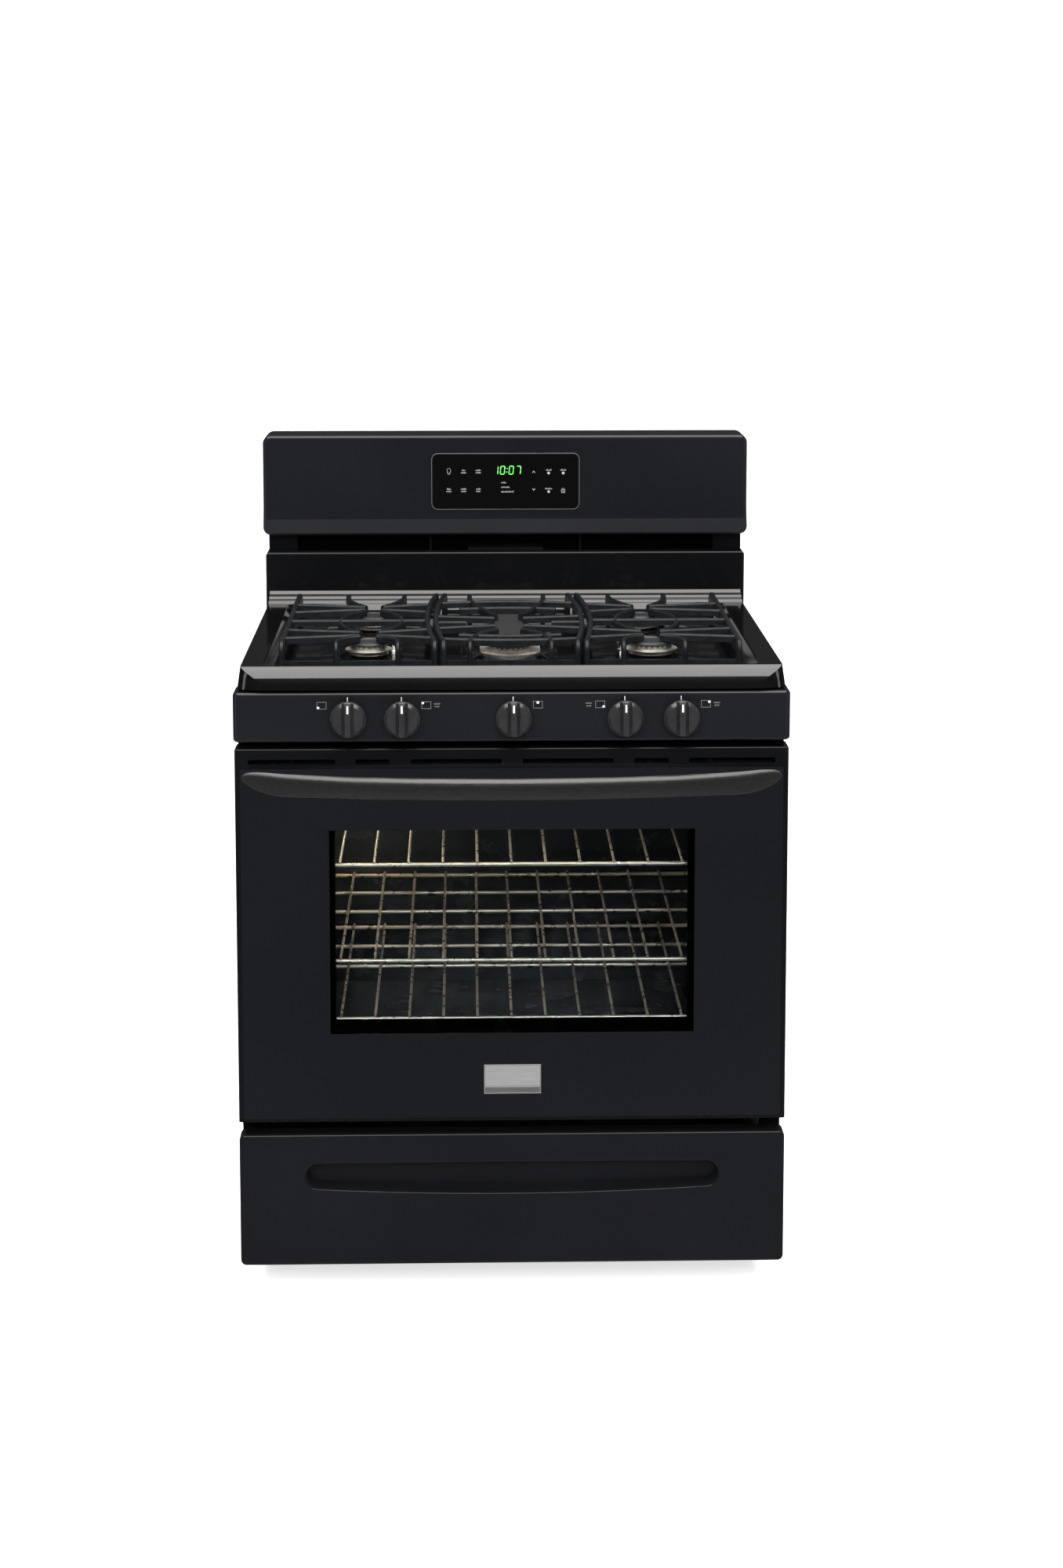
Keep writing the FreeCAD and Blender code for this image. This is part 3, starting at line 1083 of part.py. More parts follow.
def side_grate():
    """Right-hand grate: tall outer wall, bowed inner bar, fingers round two burners."""
    bx, front_y, rear_y = 201.0, ROUND_BURNERS[0][2], ROUND_BURNERS[1][2]
    low_y, high_y = GRATE_FRONT_Y + foot_reach(), GRATE_BACK_Y - foot_reach()
    wall_x, tip_in, tip_out = 320.0, bx - SLOT_HALF, bx + SLOT_HALF
    middle_y = (front_y + rear_y) / 2
    bow = (104.5, 120.0, 107.0)
    ends = [(bowed_x(y, *bow), y) for y in (low_y, 14.0, high_y)]
    bars = [straight_bar((wall_x, low_y), (wall_x, high_y), BAR_WIDTH, 0, 20.0),
            curved_bar(*ends, BAR_WIDTH, 0)]
    for (x, y), way in (((wall_x, low_y), -1), ((wall_x, high_y), 1), (ends[0], -1), (ends[2], 1)):
        bars.append(foot((x, y), (0, way), BAR_WIDTH - 0.4, 0.3))
    for centre in (front_y, rear_y):
        for turn in (-1, 1):
            wall_y, tip_y = centre + turn * 35, centre + turn * SLOT_HALF
            bars.append(straight_bar((wall_x, wall_y), (tip_out, tip_y), FINGER_WIDTH, 0.6))
            bars.append(straight_bar((bowed_x(wall_y, *bow), wall_y), (tip_in, tip_y), FINGER_WIDTH, 0.6))
    bars.append(straight_bar((wall_x, middle_y), (bow[1], middle_y), FINGER_WIDTH, 0.9))
    for side, tip in ((1, tip_out - 0.5), (-1, tip_in + 0.5)):
        bars.append(curved_bar((tip, rear_y - SLOT_HALF - 4), (bx + side * 45, middle_y),
                               (tip, front_y + SLOT_HALF + 4), FINGER_WIDTH - 0.5, 1.3))
        for arm_y, tip_y, way in ((low_y, front_y - SLOT_HALF - 4, -1), (high_y, rear_y + SLOT_HALF + 4, 1)):
            shoulder = (bx + side * FOOT_SPREAD, arm_y)
            bend = (bx + side * 35, arm_y + (tip_y - arm_y) * 0.58)
            bars.append(curved_bar(shoulder, bend, (tip, tip_y), FINGER_WIDTH, 1.1))
            bars.append(foot(shoulder, (0, way), FINGER_WIDTH - 0.4, 1.5))
    for y, inner_x in ((GRATE_FRONT_Y + 5, ends[0][0]), (GRATE_BACK_Y - 5, ends[2][0])):
        bars.append(tie_bar((inner_x, y), (wall_x, y)))
    return fused(bars)


def centre_grate():
    """Barrel-shaped grate over the long burner, open in the middle."""
    low_y, high_y = GRATE_FRONT_Y + foot_reach(), GRATE_BACK_Y - foot_reach()
    bow = (92.0, 107.0, 94.0)
    foot_x = 57.0
    bars = []
    for side in (-1, 1):
        ends = [(side * bowed_x(y, *bow), y) for y in (low_y, 14.0, high_y)]
        bars.append(curved_bar(*ends, BAR_WIDTH, 0))
        bars.append(foot(ends[0], (0, -1), BAR_WIDTH - 0.4, 0.3))
        bars.append(foot(ends[2], (0, 1), BAR_WIDTH - 0.4, 0.3))
        for wall_y, tip_y in ((18, 2), (-86, -64)):
            bars.append(straight_bar((side * (bow[1] - 1), wall_y), (side * 21, tip_y), FINGER_WIDTH, 0.6))
        bars.append(straight_bar((side * (bow[1] - 1), -34), (side * 62, -34), FINGER_WIDTH, 0.9))
        for arm_y, tip_y, way in ((low_y, -92.0, -1), (high_y, 34.0, 1)):
            bend = (side * 50, arm_y + (tip_y - arm_y) * 0.45)
            bars.append(curved_bar((side * foot_x, arm_y), bend, (side * 18, tip_y), FINGER_WIDTH, 1.1))
            bars.append(foot((side * foot_x, arm_y), (0, way), FINGER_WIDTH - 0.4, 1.5))
    for edge_y, middle_y in ((-165, -180), (149, 163)):
        edge_x = bowed_x(edge_y, *bow)
        bars.append(curved_bar((-edge_x, edge_y), (0, middle_y), (edge_x, edge_y), FINGER_WIDTH, 1.9))
    for edge_y, middle_y in ((-135, -145), (92, 102)):
        bars.append(curved_bar((-72, edge_y), (0, middle_y), (72, edge_y), FINGER_WIDTH, 1.9))
    for y, x in ((GRATE_FRONT_Y + 5, bow[0]), (GRATE_BACK_Y - 5, bow[2])):
        bars.append(tie_bar((-x, y), (x, y)))
    return fused(bars)


# ---------------------------------------------------------------- write every piece
os.makedirs("parts", exist_ok=True)

right_side = side_panel()
save("side_panel_right", right_side)
save("side_panel_left", mirrored(right_side))
save("rear_panel", rear_panel())
save("base_frame", base_frame())
save("levelling_legs", levelling_legs())
save("front_frame", front_frame())
save("oven_liner", oven_liner())
save("oven_insulation", oven_insulation())
save("oven_floor_panel", oven_floor_panel())
save("oven_burners", [bake_burner(), broil_burner()])
save("oven_lamp_lens", oven_lamp_lens())
save("temperature_probe", temperature_probe())
save("oven_flue_duct", oven_flue_duct())
save("hinge_receivers", hinge_receivers())
save("pressure_regulator", pressure_regulator())
save("power_inlet", power_inlet())
save("panel_screws", panel_screws())
save("drawer_rails", drawer_rails())

save("cooktop_panel", cooktop_panel())
heads = [burner_head(x, y, cap_r) for name, x, y, cap_r in ROUND_BURNERS]
save("burner_heads", heads + [oval_head()])
caps = [burner_cap(x, y, cap_r) for name, x, y, cap_r in ROUND_BURNERS]
save("burner_caps", caps + [oval_cap()])
save("spark_igniters", igniters())
save("gas_manifold", gas_manifold())
save("gas_valves", gas_valves())
save("burner_supply_tubes", supply_tubes())

save("control_panel", control_panel())
for number, knob_x in enumerate(KNOB_X, start=1):
    save(f"valve_stem_{number}", valve_stem(knob_x))
    save(f"knob_{number}", knob(knob_x))

save("backguard_console", backguard_console())
save("backguard_riser", backguard_riser())
save("backguard_cover", backguard_cover())
save("display_glass", display_glass())

save("door_frame", door_frame())
save("door_outer_glass", door_outer_glass())
save("door_glass_print", door_glass_print())
save("door_inner_panel", door_inner_panel())
save("door_inner_glass", door_inner_glass())
save("door_insulation", door_insulation())
save("door_hinges", door_hinges())
save("door_gasket", door_gasket())
handle = door_handle()
save("door_handle", handle)
save("door_handle_mounts", door_handle_mounts(handle))
save("badge_plate", badge_plate())

save("drawer_front", drawer_front())
save("drawer_box", drawer_box())
save("drawer_runners", drawer_runners())

for place, level in zip(("upper", "middle", "lower"), RACK_Z):
    save(f"oven_rack_{place}", oven_rack(level))

right_grate = side_grate()
save("grate_right", right_grate)
save("grate_left", mirrored(right_grate))
save("grate_centre", centre_grate())
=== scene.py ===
import json
import math

import bpy
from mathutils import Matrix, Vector


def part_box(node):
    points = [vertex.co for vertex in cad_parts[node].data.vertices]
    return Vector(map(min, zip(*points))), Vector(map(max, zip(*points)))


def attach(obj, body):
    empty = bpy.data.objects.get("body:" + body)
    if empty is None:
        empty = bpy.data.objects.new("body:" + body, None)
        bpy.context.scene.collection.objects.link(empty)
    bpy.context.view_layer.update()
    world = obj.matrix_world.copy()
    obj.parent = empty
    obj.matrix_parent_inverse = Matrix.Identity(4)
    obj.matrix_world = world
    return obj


# Look of the freestanding gas range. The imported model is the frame: its nodes keep their shapes and
# get materials here. The marks, the clock and other thin details are added as meshes of their own.

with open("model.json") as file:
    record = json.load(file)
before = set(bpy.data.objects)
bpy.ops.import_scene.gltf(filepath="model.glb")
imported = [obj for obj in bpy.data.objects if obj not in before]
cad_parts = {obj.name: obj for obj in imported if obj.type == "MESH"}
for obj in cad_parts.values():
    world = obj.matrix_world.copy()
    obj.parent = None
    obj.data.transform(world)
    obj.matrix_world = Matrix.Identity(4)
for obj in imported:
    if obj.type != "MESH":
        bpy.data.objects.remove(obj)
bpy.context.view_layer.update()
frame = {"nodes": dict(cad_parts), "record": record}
nodes = frame["nodes"]
MM = 0.001

# ---------------------------------------------------------------- material helpers


def fill_ramp(ramp, stops):
    """Sets a colour ramp's elements from (position, colour) stops."""
    while len(ramp.elements) < len(stops):
        ramp.elements.new(0.5)
    for element, (place, color) in zip(ramp.elements, stops):
        element.position = place
        element.color = (*color, 1)


class Material:
    """A Principled material with short calls for the procedural nodes used here."""

    def __init__(self, name, color, roughness, **inputs):
        self.material = bpy.data.materials.new(name)
        self.material.use_nodes = True
        self.tree = self.material.node_tree
        self.shader = self.tree.nodes["Principled BSDF"]
        self.shader.inputs["Base Color"].default_value = (*color, 1)
        self.shader.inputs["Roughness"].default_value = roughness
        for key, value in inputs.items():
            self.shader.inputs[key.replace("_", " ")].default_value = value
        self.color = color
        self.roughness = roughness
        self.height = None

    def node(self, kind, inputs=None):
        made = self.tree.nodes.new(kind)
        for key, value in (inputs or {}).items():
            if isinstance(value, bpy.types.NodeSocket):
                self.tree.links.new(value, made.inputs[key])
            else:
                made.inputs[key].default_value = value
        return made

    def position(self, stretch=(1, 1, 1)):
        """Object coordinates in metres, stretched along each axis."""
        source = self.node("ShaderNodeTexCoord").outputs["Object"]
        return self.node("ShaderNodeMapping", {"Vector": source, "Scale": stretch}).outputs["Vector"]

    def noise(self, scale, detail=3.0, stretch=(1, 1, 1), rough=0.55):
        inputs = {"Vector": self.position(stretch), "Scale": scale, "Detail": detail, "Roughness": rough}
        return self.node("ShaderNodeTexNoise", inputs).outputs["Fac"]

    def cells(self, scale, output="Distance"):
        inputs = {"Vector": self.position(), "Scale": scale}
        return self.node("ShaderNodeTexVoronoi", inputs).outputs[output]

    def ramp(self, value, stops):
        """Colours spread over a value from (position, colour) stops."""
        made = self.node("ShaderNodeValToRGB", {"Fac": value})
        fill_ramp(made.color_ramp, stops)
        return made.outputs["Color"]

    def spread(self, value, low, high):
        """Maps a 0.3 to 0.7 pattern onto low to high."""
        inputs = {"Value": value, "From Min": 0.3, "From Max": 0.7, "To Min": low, "To Max": high}
        return self.node("ShaderNodeMapRange", inputs).outputs["Result"]

    def mottle(self, scale, amount, detail=3.0):
        """Base colour that varies by a share of itself."""
        dark = tuple(c * (1 - amount) for c in self.color)
        light = tuple(c * (1 + amount) for c in self.color)
        color = self.ramp(self.noise(scale, detail), [(0.32, dark), (0.68, light)])
        self.link(color, "Base Color")
        return self

    def vary_roughness(self, scale, amount):
        """Roughness that varies by a share of itself."""
        low, high = self.roughness * (1 - amount), min(1.0, self.roughness * (1 + amount))
        self.link(self.spread(self.noise(scale, 2.0), low, high), "Roughness")
        return self

    def bump(self, height, distance, strength=1.0):
        inputs = {"Height": height, "Distance": distance, "Strength": strength}
        if self.height is not None:
            inputs["Normal"] = self.height
        self.height = self.node("ShaderNodeBump", inputs).outputs["Normal"]
        self.link(self.height, "Normal")
        return self

    def link(self, output, name):
        self.tree.links.new(output, self.shader.inputs[name])


def paint(name, color, roughness, specular, peel=0.00002):
    """Sprayed or fired black coating: faint mottling, uneven gloss and orange peel."""
    made = Material(name, color, roughness, Specular_IOR_Level=specular)
    made.mottle(5.0, 0.1, detail=1.5).vary_roughness(9.0, 0.06)
    made.bump(made.noise(420.0, 2.0), peel, 0.5)
    return made


def brushed(name, color, roughness, stretch, scale=260.0, metallic=1.0):
    """Metal with fine brushing; stretch is small along the brush lines."""
    made = Material(name, color, roughness, Metallic=metallic)
    lines = made.noise(scale, 5.0, stretch, 0.65)
    low = tuple(c * 0.82 for c in color)
    high = tuple(min(1.0, c * 1.16) for c in color)
    made.link(made.ramp(lines, [(0.3, low), (0.7, high)]), "Base Color")
    made.link(made.spread(lines, roughness * 0.8, roughness * 1.25), "Roughness")
    made.bump(lines, 0.00001, 0.3)
    return made


def galvanised_steel():
    made = Material("galvanised", (0.5, 0.51, 0.52), 0.42, Metallic=1.0)
    spangle = made.cells(95.0, "Color")
    grey = made.node("ShaderNodeRGBToBW", {"Color": spangle}).outputs["Val"]
    made.link(made.ramp(grey, [(0.1, (0.45, 0.46, 0.47)), (0.9, (0.55, 0.56, 0.57))]), "Base Color")
    made.link(made.spread(grey, 0.34, 0.5), "Roughness")
    made.bump(made.noise(30.0), 0.0002, 0.3)
    return made


def cast_iron():
    """Matt enamel over a sand-cast surface."""
    made = Material("grate_iron", (0.0045, 0.0055, 0.0066), 0.46, Specular_IOR_Level=0.22)
    made.mottle(60.0, 0.3).vary_roughness(90.0, 0.2)
    made.bump(made.noise(900.0, 4.0), 0.00025, 0.7)
    made.bump(made.noise(160.0, 3.0), 0.0005, 0.35)
    return made


def cast_aluminium():
    made = Material("cast_aluminium", (0.46, 0.44, 0.4), 0.5, Metallic=1.0)
    made.mottle(220.0, 0.16).vary_roughness(300.0, 0.25)
    made.bump(made.noise(1400.0, 4.0), 0.00012, 0.6)
    return made


def printed_glass():
    """Dark print fired onto the back of the door glass; a trace of glow stands in for light in the glass."""
    made = Material("glass_print", (0.012, 0.0126, 0.0146), 0.5, Specular_IOR_Level=0.1)
    made.mottle(5.0, 0.1)
    glow = [(0.3, (0.013, 0.0135, 0.0158)), (0.7, (0.0158, 0.0164, 0.0192))]
    made.link(made.ramp(made.noise(2.2, 1.5), glow), "Emission Color")
    made.shader.inputs["Emission Strength"].default_value = 1.0
    return made


def oven_enamel():
    """Dark porcelain with pale specks."""
    made = Material("oven_enamel", (0.013, 0.018, 0.024), 0.24, Specular_IOR_Level=0.3)
    specks = made.ramp(made.cells(520.0), [(0.08, (0.07, 0.073, 0.08)), (0.16, (0.013, 0.018, 0.024))])
    made.link(specks, "Base Color")
    made.vary_roughness(25.0, 0.25)
    made.bump(made.noise(260.0), 0.00004, 0.4)
    return made


def fibre(name, color, scale, distance):
    """Matted or woven fibres."""
    made = Material(name, color, 0.95, Specular_IOR_Level=0.2)
    strands = made.noise(scale, 8.0, (1, 0.3, 1), 0.7)
    dark = tuple(c * 0.6 for c in color)
    light = tuple(min(1.0, c * 1.25) for c in color)
    made.link(made.ramp(strands, [(0.3, dark), (0.7, light)]), "Base Color")
    made.bump(strands, distance, 0.8)
    return made


def moulded(name, color, roughness, grain=1100.0, depth=0.00005):
    """Moulded plastic with a fine spark-eroded grain."""
    made = Material(name, color, roughness, Specular_IOR_Level=0.45)
    made.mottle(40.0, 0.18).vary_roughness(60.0, 0.15)
    made.bump(made.noise(grain, 2.0), depth, 0.5)
    return made


def clear_glass(name, color, ior, roughness=0.0):
    """Toughened glass with a slightly uneven tint."""
    made = Material(name, color, roughness, IOR=ior)
    made.shader.inputs["Transmission Weight"].default_value = 1.0
    made.mottle(3.0, 0.04)
    return made


def bright_wire():
    made = Material("rack_chrome", (0.42, 0.385, 0.32), 0.34, Metallic=0.7)
    made.mottle(50.0, 0.12).vary_roughness(80.0, 0.4)
    made.bump(made.noise(500.0), 0.00004, 0.5)
    return made


def printed(name, color):
    """Screen-printed ink."""
    made = Material(name, color, 0.5)
    made.mottle(900.0, 0.08)
    made.bump(made.noise(2500.0), 0.00001, 0.5)
    return made


def glowing(name, color, strength):
    made = Material(name, color, 0.4)
    made.shader.inputs["Emission Color"].default_value = (*color, 1)
    made.shader.inputs["Emission Strength"].default_value = strength
    made.mottle(400.0, 0.1)
    return made


MATERIALS = {
    "body_enamel": paint("body_enamel", (0.0026, 0.0028, 0.0034), 0.1, 0.22),
    "panel_paint": paint("panel_paint", (0.0057, 0.0061, 0.0075), 0.17, 0.3, 0.00002),
    # drawer_paint is the panel's black paint made darker: the lower colour is painted shade for the drawer
    # and its shadowed pocket.
    "drawer_paint": paint("drawer_paint", (0.0044, 0.0047, 0.0058), 0.17, 0.2, 0.00002),
    "cooktop_enamel": paint("cooktop_enamel", (0.0018, 0.0018, 0.0019), 0.09, 0.6, 0.00001),
    "cap_enamel": paint("cap_enamel", (0.02, 0.02, 0.021), 0.32, 0.6, 0.00005),
    "glass_print": printed_glass(),
    "dark_steel": paint("dark_steel", (0.003, 0.003, 0.003), 0.55, 0.2, 0.00008),
    "display": paint("display", (0.0016, 0.0016, 0.0018), 0.08, 0.3, 0.000005),
    "oven_enamel": oven_enamel(),
    "grate_iron": cast_iron(),
    "cast_aluminium": cast_aluminium(),
    "galvanised": galvanised_steel(),
    "leg_steel": brushed("leg_steel", (0.45, 0.45, 0.44), 0.35, (1, 1, 0.1)),
    "hinge_steel": brushed("hinge_steel", (0.4, 0.4, 0.4), 0.35, (1, 0.1, 1)),
    "burner_steel": brushed("burner_steel", (0.33, 0.3, 0.27), 0.4, (1, 0.15, 1)),
    "probe_steel": brushed("probe_steel", (0.6, 0.6, 0.6), 0.25, (1, 0.1, 1)),
    "handle_metal": brushed("handle_metal", (0.058, 0.058, 0.057), 0.34, (0.02, 1, 1), 900.0, 0.9),
    "badge_metal": brushed("badge_metal", (0.27, 0.27, 0.27), 0.45, (0.03, 1, 1), 900.0, 0.5),
    "brass": brushed("brass", (0.7, 0.52, 0.25), 0.3, (1, 0.1, 1)),
    "ceramic": moulded("ceramic", (0.82, 0.81, 0.78), 0.25),
    "black_plastic": moulded("black_plastic", (0.012, 0.012, 0.012), 0.5),
    "knob_plastic": moulded("knob_plastic", (0.014, 0.014, 0.015), 0.22, 1500.0, 0.00001),
    "door_glass": clear_glass("door_glass", (0.88, 0.91, 0.93), 1.08),
    "lamp_glass": clear_glass("lamp_glass", (0.95, 0.92, 0.85), 1.45, 0.15),
    "insulation": fibre("insulation", (0.62, 0.56, 0.36), 300.0, 0.002),
    "gasket": fibre("gasket", (0.16, 0.16, 0.155), 700.0, 0.001),
    "rack_chrome": bright_wire(),
}

INK = printed("white_ink", (0.5, 0.51, 0.52))
DIM_INK = printed("grey_ink", (0.1, 0.1, 0.105))
KEY_INK = printed("key_ink", (0.3, 0.305, 0.31))
GREEN_LIGHT = glowing("clock_green", (0.13, 1.0, 0.12), 0.75)
WARM_LIGHT = glowing("bulb_glow", (1.0, 0.72, 0.4), 3.0)
BAND_METAL = brushed("band_metal", (0.12, 0.12, 0.12), 0.4, (0.05, 1, 1), 600.0, 0.6)
RIM_METAL = brushed("rim_metal", (0.13, 0.13, 0.13), 0.3, (0.1, 1, 1), metallic=0.4)


def dress_nodes():
    """Gives every CAD node the material of its slot in the record."""
    for part in frame["record"]["subparts"]:
        node = nodes[part["node"]]
        chosen = MATERIALS[part["material_slot"]].material
        if not node.material_slots:
            node.data.materials.append(chosen)
        for holder in node.material_slots:
            holder.material = chosen


dress_nodes()

# ---------------------------------------------------------------- mesh helpers


def make_piece(name, verts, faces, look, body):
    """A mesh piece in millimetres, riding on a body."""
    mesh = bpy.data.meshes.new(name)
    mesh.from_pydata([Vector(v) * MM for v in verts], [], faces)
    mesh.validate()
    mesh.update()
    mesh.materials.append(look.material)
    piece = bpy.data.objects.new(name, mesh)
    bpy.context.scene.collection.objects.link(piece)
    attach(piece, body)
    return piece


class Relief:
    """Thin raised marks on a face that looks towards -Y, gathered into one mesh."""

    def __init__(self, face_y, proud=0.12):
        self.back, self.front = face_y + 0.05, face_y - proud
        self.verts, self.faces = [], []

    def shape(self, outline):
        """Closed outline of (x, z) points, anticlockwise as seen from the front."""
        count, start = len(outline), len(self.verts)
        self.verts += [(x, self.front, z) for x, z in outline]
        self.verts += [(x, self.back, z) for x, z in outline]
        self.faces.append([start + k for k in range(count)])
        self.faces.append([start + count + k for k in reversed(range(count))])
        for k in range(count):
            after = (k + 1) % count
            self.faces.append([start + after, start + k, start + count + k, start + count + after])

    def bar(self, x, z, width, height):
        """Upright rectangle about a centre."""
        w, h = width / 2, height / 2
        self.shape([(x - w, z - h), (x + w, z - h), (x + w, z + h), (x - w, z + h)])

    def disc(self, x, z, radius, sides=20):
        angles = [2 * math.pi * k / sides for k in range(sides)]
        self.shape([(x + radius * math.cos(a), z + radius * math.sin(a)) for a in angles])

    def frame(self, x, z, width, height, line):
        """Hollow rectangle from four bars."""
        self.bar(x, z + height / 2, width, line)
        self.bar(x, z - height / 2, width, line)
        self.bar(x - width / 2 + line / 2, z, line, height - line)
        self.bar(x + width / 2 - line / 2, z, line, height - line)

    def ring(self, outer, inner):
        """Flat ring between two outlines with the same number of points."""
        count, start = len(outer), len(self.verts)
        for y in (self.front, self.back):
            for outline in (outer, inner):
                self.verts += [(x, y, z) for x, z in outline]
        rows = [start + count * k for k in range(4)]
        for k in range(count):
            after = (k + 1) % count
            for a, b in ((0, 1), (1, 3), (3, 2), (2, 0)):
                self.faces.append([rows[a] + k, rows[a] + after, rows[b] + after, rows[b] + k])

    def made(self, name, look, body, slot):
        return make_piece(name, self.verts, self.faces, look, body)


def rounded_outline(x0, x1, z0, z1, radius, steps=6):
    """Rectangle with round corners."""
    corners = [(x1 - radius, z0 + radius, -90), (x1 - radius, z1 - radius, 0),
               (x0 + radius, z1 - radius, 90), (x0 + radius, z0 + radius, 180)]
    points = []
    for cx, cz, start in corners:
        for k in range(steps + 1):
            angle = math.radians(start + 90 * k / steps)
            points.append((cx + radius * math.cos(angle), cz + radius * math.sin(angle)))
    return points


def node_box(name):
    """A CAD node's corners in millimetres."""
    low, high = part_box(name)
    return Vector(low) / MM, Vector(high) / MM


# ---------------------------------------------------------------- control panel marks

# for each knob, the offset of its square and the corner or edge that the dot takes the place of
BURNER_MARKS = (
    (-36.0, (-1, -1)),
    (33.0, (-1, 1)),
    (33.0, (0, 1)),
    (-34.5, (1, -1)),
    (33.0, (1, 1)),
)
SQUARE_SIZE = (13.0, 9.4)
SQUARE_DROP = 6.6         # centre of the squares below the top of the knobs
DOT_REACH = (5.0, 3.2)    # from the centre of a square to the dot
TICK_SIZE = (1.1, 9.0)
KNOB_LINE_SIZE = (2.5, 10.6)
KNOB_LINE_DROP = 8.6      # centre of the white line below the top of the knob
HINT_MARKS = {2: 47.5, 4: -50.0, 5: 48.0}
HINT_ROWS = ((1.7, (-3.6, -1.8, 0.0, 1.8, 3.6)), (-2.0, (-2.7, -0.9, 0.9, 2.7)))


def control_marks():
    """Ticks above the knobs, burner squares and small worded hints stood in for by blocks."""
    face_y = node_box("control_panel")[0].y
    ticks = Relief(face_y)
    squares = Relief(face_y)
    for number, (shift, dot) in enumerate(BURNER_MARKS, start=1):
        low, high = node_box(f"knob_{number}")
        x, top = (low.x + high.x) / 2, high.z
        ticks.bar(x - 0.8, top + 0.2, *TICK_SIZE)
        cx, cz = x + shift, top - SQUARE_DROP
        squares.frame(cx, cz, *SQUARE_SIZE, 0.6)
        ticks.disc(cx + dot[0] * DOT_REACH[0], cz + dot[1] * DOT_REACH[1], 1.9)
        if number in HINT_MARKS:
            hx = x + HINT_MARKS[number]
            for row, places in HINT_ROWS:
                for dx in places:
                    squares.bar(hx + dx, cz + row, 1.0, 2.0)
                squares.bar(hx, cz + row - 0.7, 2 * places[-1] + 0.8, 0.5)
    ticks.made("control_ticks", INK, "range_body", "panel_paint")
    squares.made("control_squares", DIM_INK, "range_body", "panel_paint")


def knob_lines():
    """White line at the top of each knob's ridge."""
    for number in range(1, 6):
        low, high = node_box(f"knob_{number}")
        x = (low.x + high.x) / 2
        line = Relief(low.y)
        line.bar(x, high.z - KNOB_LINE_DROP, *KNOB_LINE_SIZE)
        line.made(f"knob_line_{number}", INK, f"burner_knob_{number}", "knob_plastic")


# ---------------------------------------------------------------- oven display
SEGMENTS = {"0": "abcdef", "1": "bc", "7": "abc"}
DIGIT_LEAN = 0.09         # sideways shift of a digit for each millimetre of height
DIGIT_LINE = 1.1
DIGIT_SIZE = (6.3, 12.6)
CLOCK_ROW = 17.6          # heights above the middle of the display
UPPER_KEY_ROW = 15.5
LOWER_KEY_ROW = -13.8
COLON_X = 2.2
COLON_ROWS = (20.2, 14.6)
SIGN_LINE = 0.75


def digit(relief, text, x, z, width, height):
    """Seven-segment digit from bevelled bars, leaning a little to the right."""
    half = height / 2
    spots = {
        "a": (x, z + half, True), "g": (x, z, True), "d": (x, z - half, True),
        "f": (x - width / 2, z + half / 2, False), "b": (x + width / 2, z + half / 2, False),
        "e": (x - width / 2, z - half / 2, False), "c": (x + width / 2, z - half / 2, False),
    }
    for key in SEGMENTS[text]:
        cx, cz, flat = spots[key]
        reach = (width if flat else half) / 2 - 0.35
        tip = DIGIT_LINE / 2
        bar = [(-reach, 0), (-reach + tip, -tip), (reach - tip, -tip), (reach, 0),
               (reach - tip, tip), (-reach + tip, tip)]
        points = [(cx + u, cz + w) if flat else (cx - w, cz + u) for u, w in bar]
        relief.shape([(px + DIGIT_LEAN * (pz - z), pz) for px, pz in points])


def stroke(relief, points, width):
    """Line of small bars along a path of (x, z) points."""
    for (x0, z0), (x1, z1) in zip(points, points[1:]):
        length = math.hypot(x1 - x0, z1 - z0)
        u, w = (x1 - x0) / length * width / 2, (z1 - z0) / length * width / 2
        relief.shape([(x0 - u + w, z0 - w - u), (x1 + u + w, z1 + w - u),
                      (x1 + u - w, z1 + w + u), (x0 - u - w, z0 - w + u)])


def arc_points(x, z, radius, start, end, steps=10):
    angles = [math.radians(start + (end - start) * k / steps) for k in range(steps + 1)]
    return [(x + radius * math.cos(a), z + radius * math.sin(a)) for a in angles]


def block_word(relief, x, z, width):
    """Stands in for a small printed word: uneven blocks on one line."""
    count = max(3, round(width / 1.9))
    step = width / count
    for k in range(count):
        tall = 2.3 if (k * 7 + count) % 3 == 0 else 1.6
        relief.bar(x - width / 2 + step * (k + 0.5), z + (tall - 1.6) / 2, step * 0.72, tall)
    relief.bar(x, z, width - 0.8, 0.7)


def bulb_sign(relief, x, z):
    """Small lamp drawn as one line."""
    foot = [(x - 1.2, z - 4.0), (x + 1.2, z - 4.0), (x + 2.5, z + 0.75)]
    stroke(relief, arc_points(x, z + 2.2, 2.9, -30, 210) + foot, SIGN_LINE)


def lock_sign(relief, x, z):
    """Small padlock: case, keyhole and bow."""
    relief.frame(x, z - 1.6, 5.6, 5.0, SIGN_LINE)
    relief.disc(x, z - 1.6, 0.8, 10)
    stroke(relief, arc_points(x, z + 1.3, 1.8, 0, 180), SIGN_LINE)


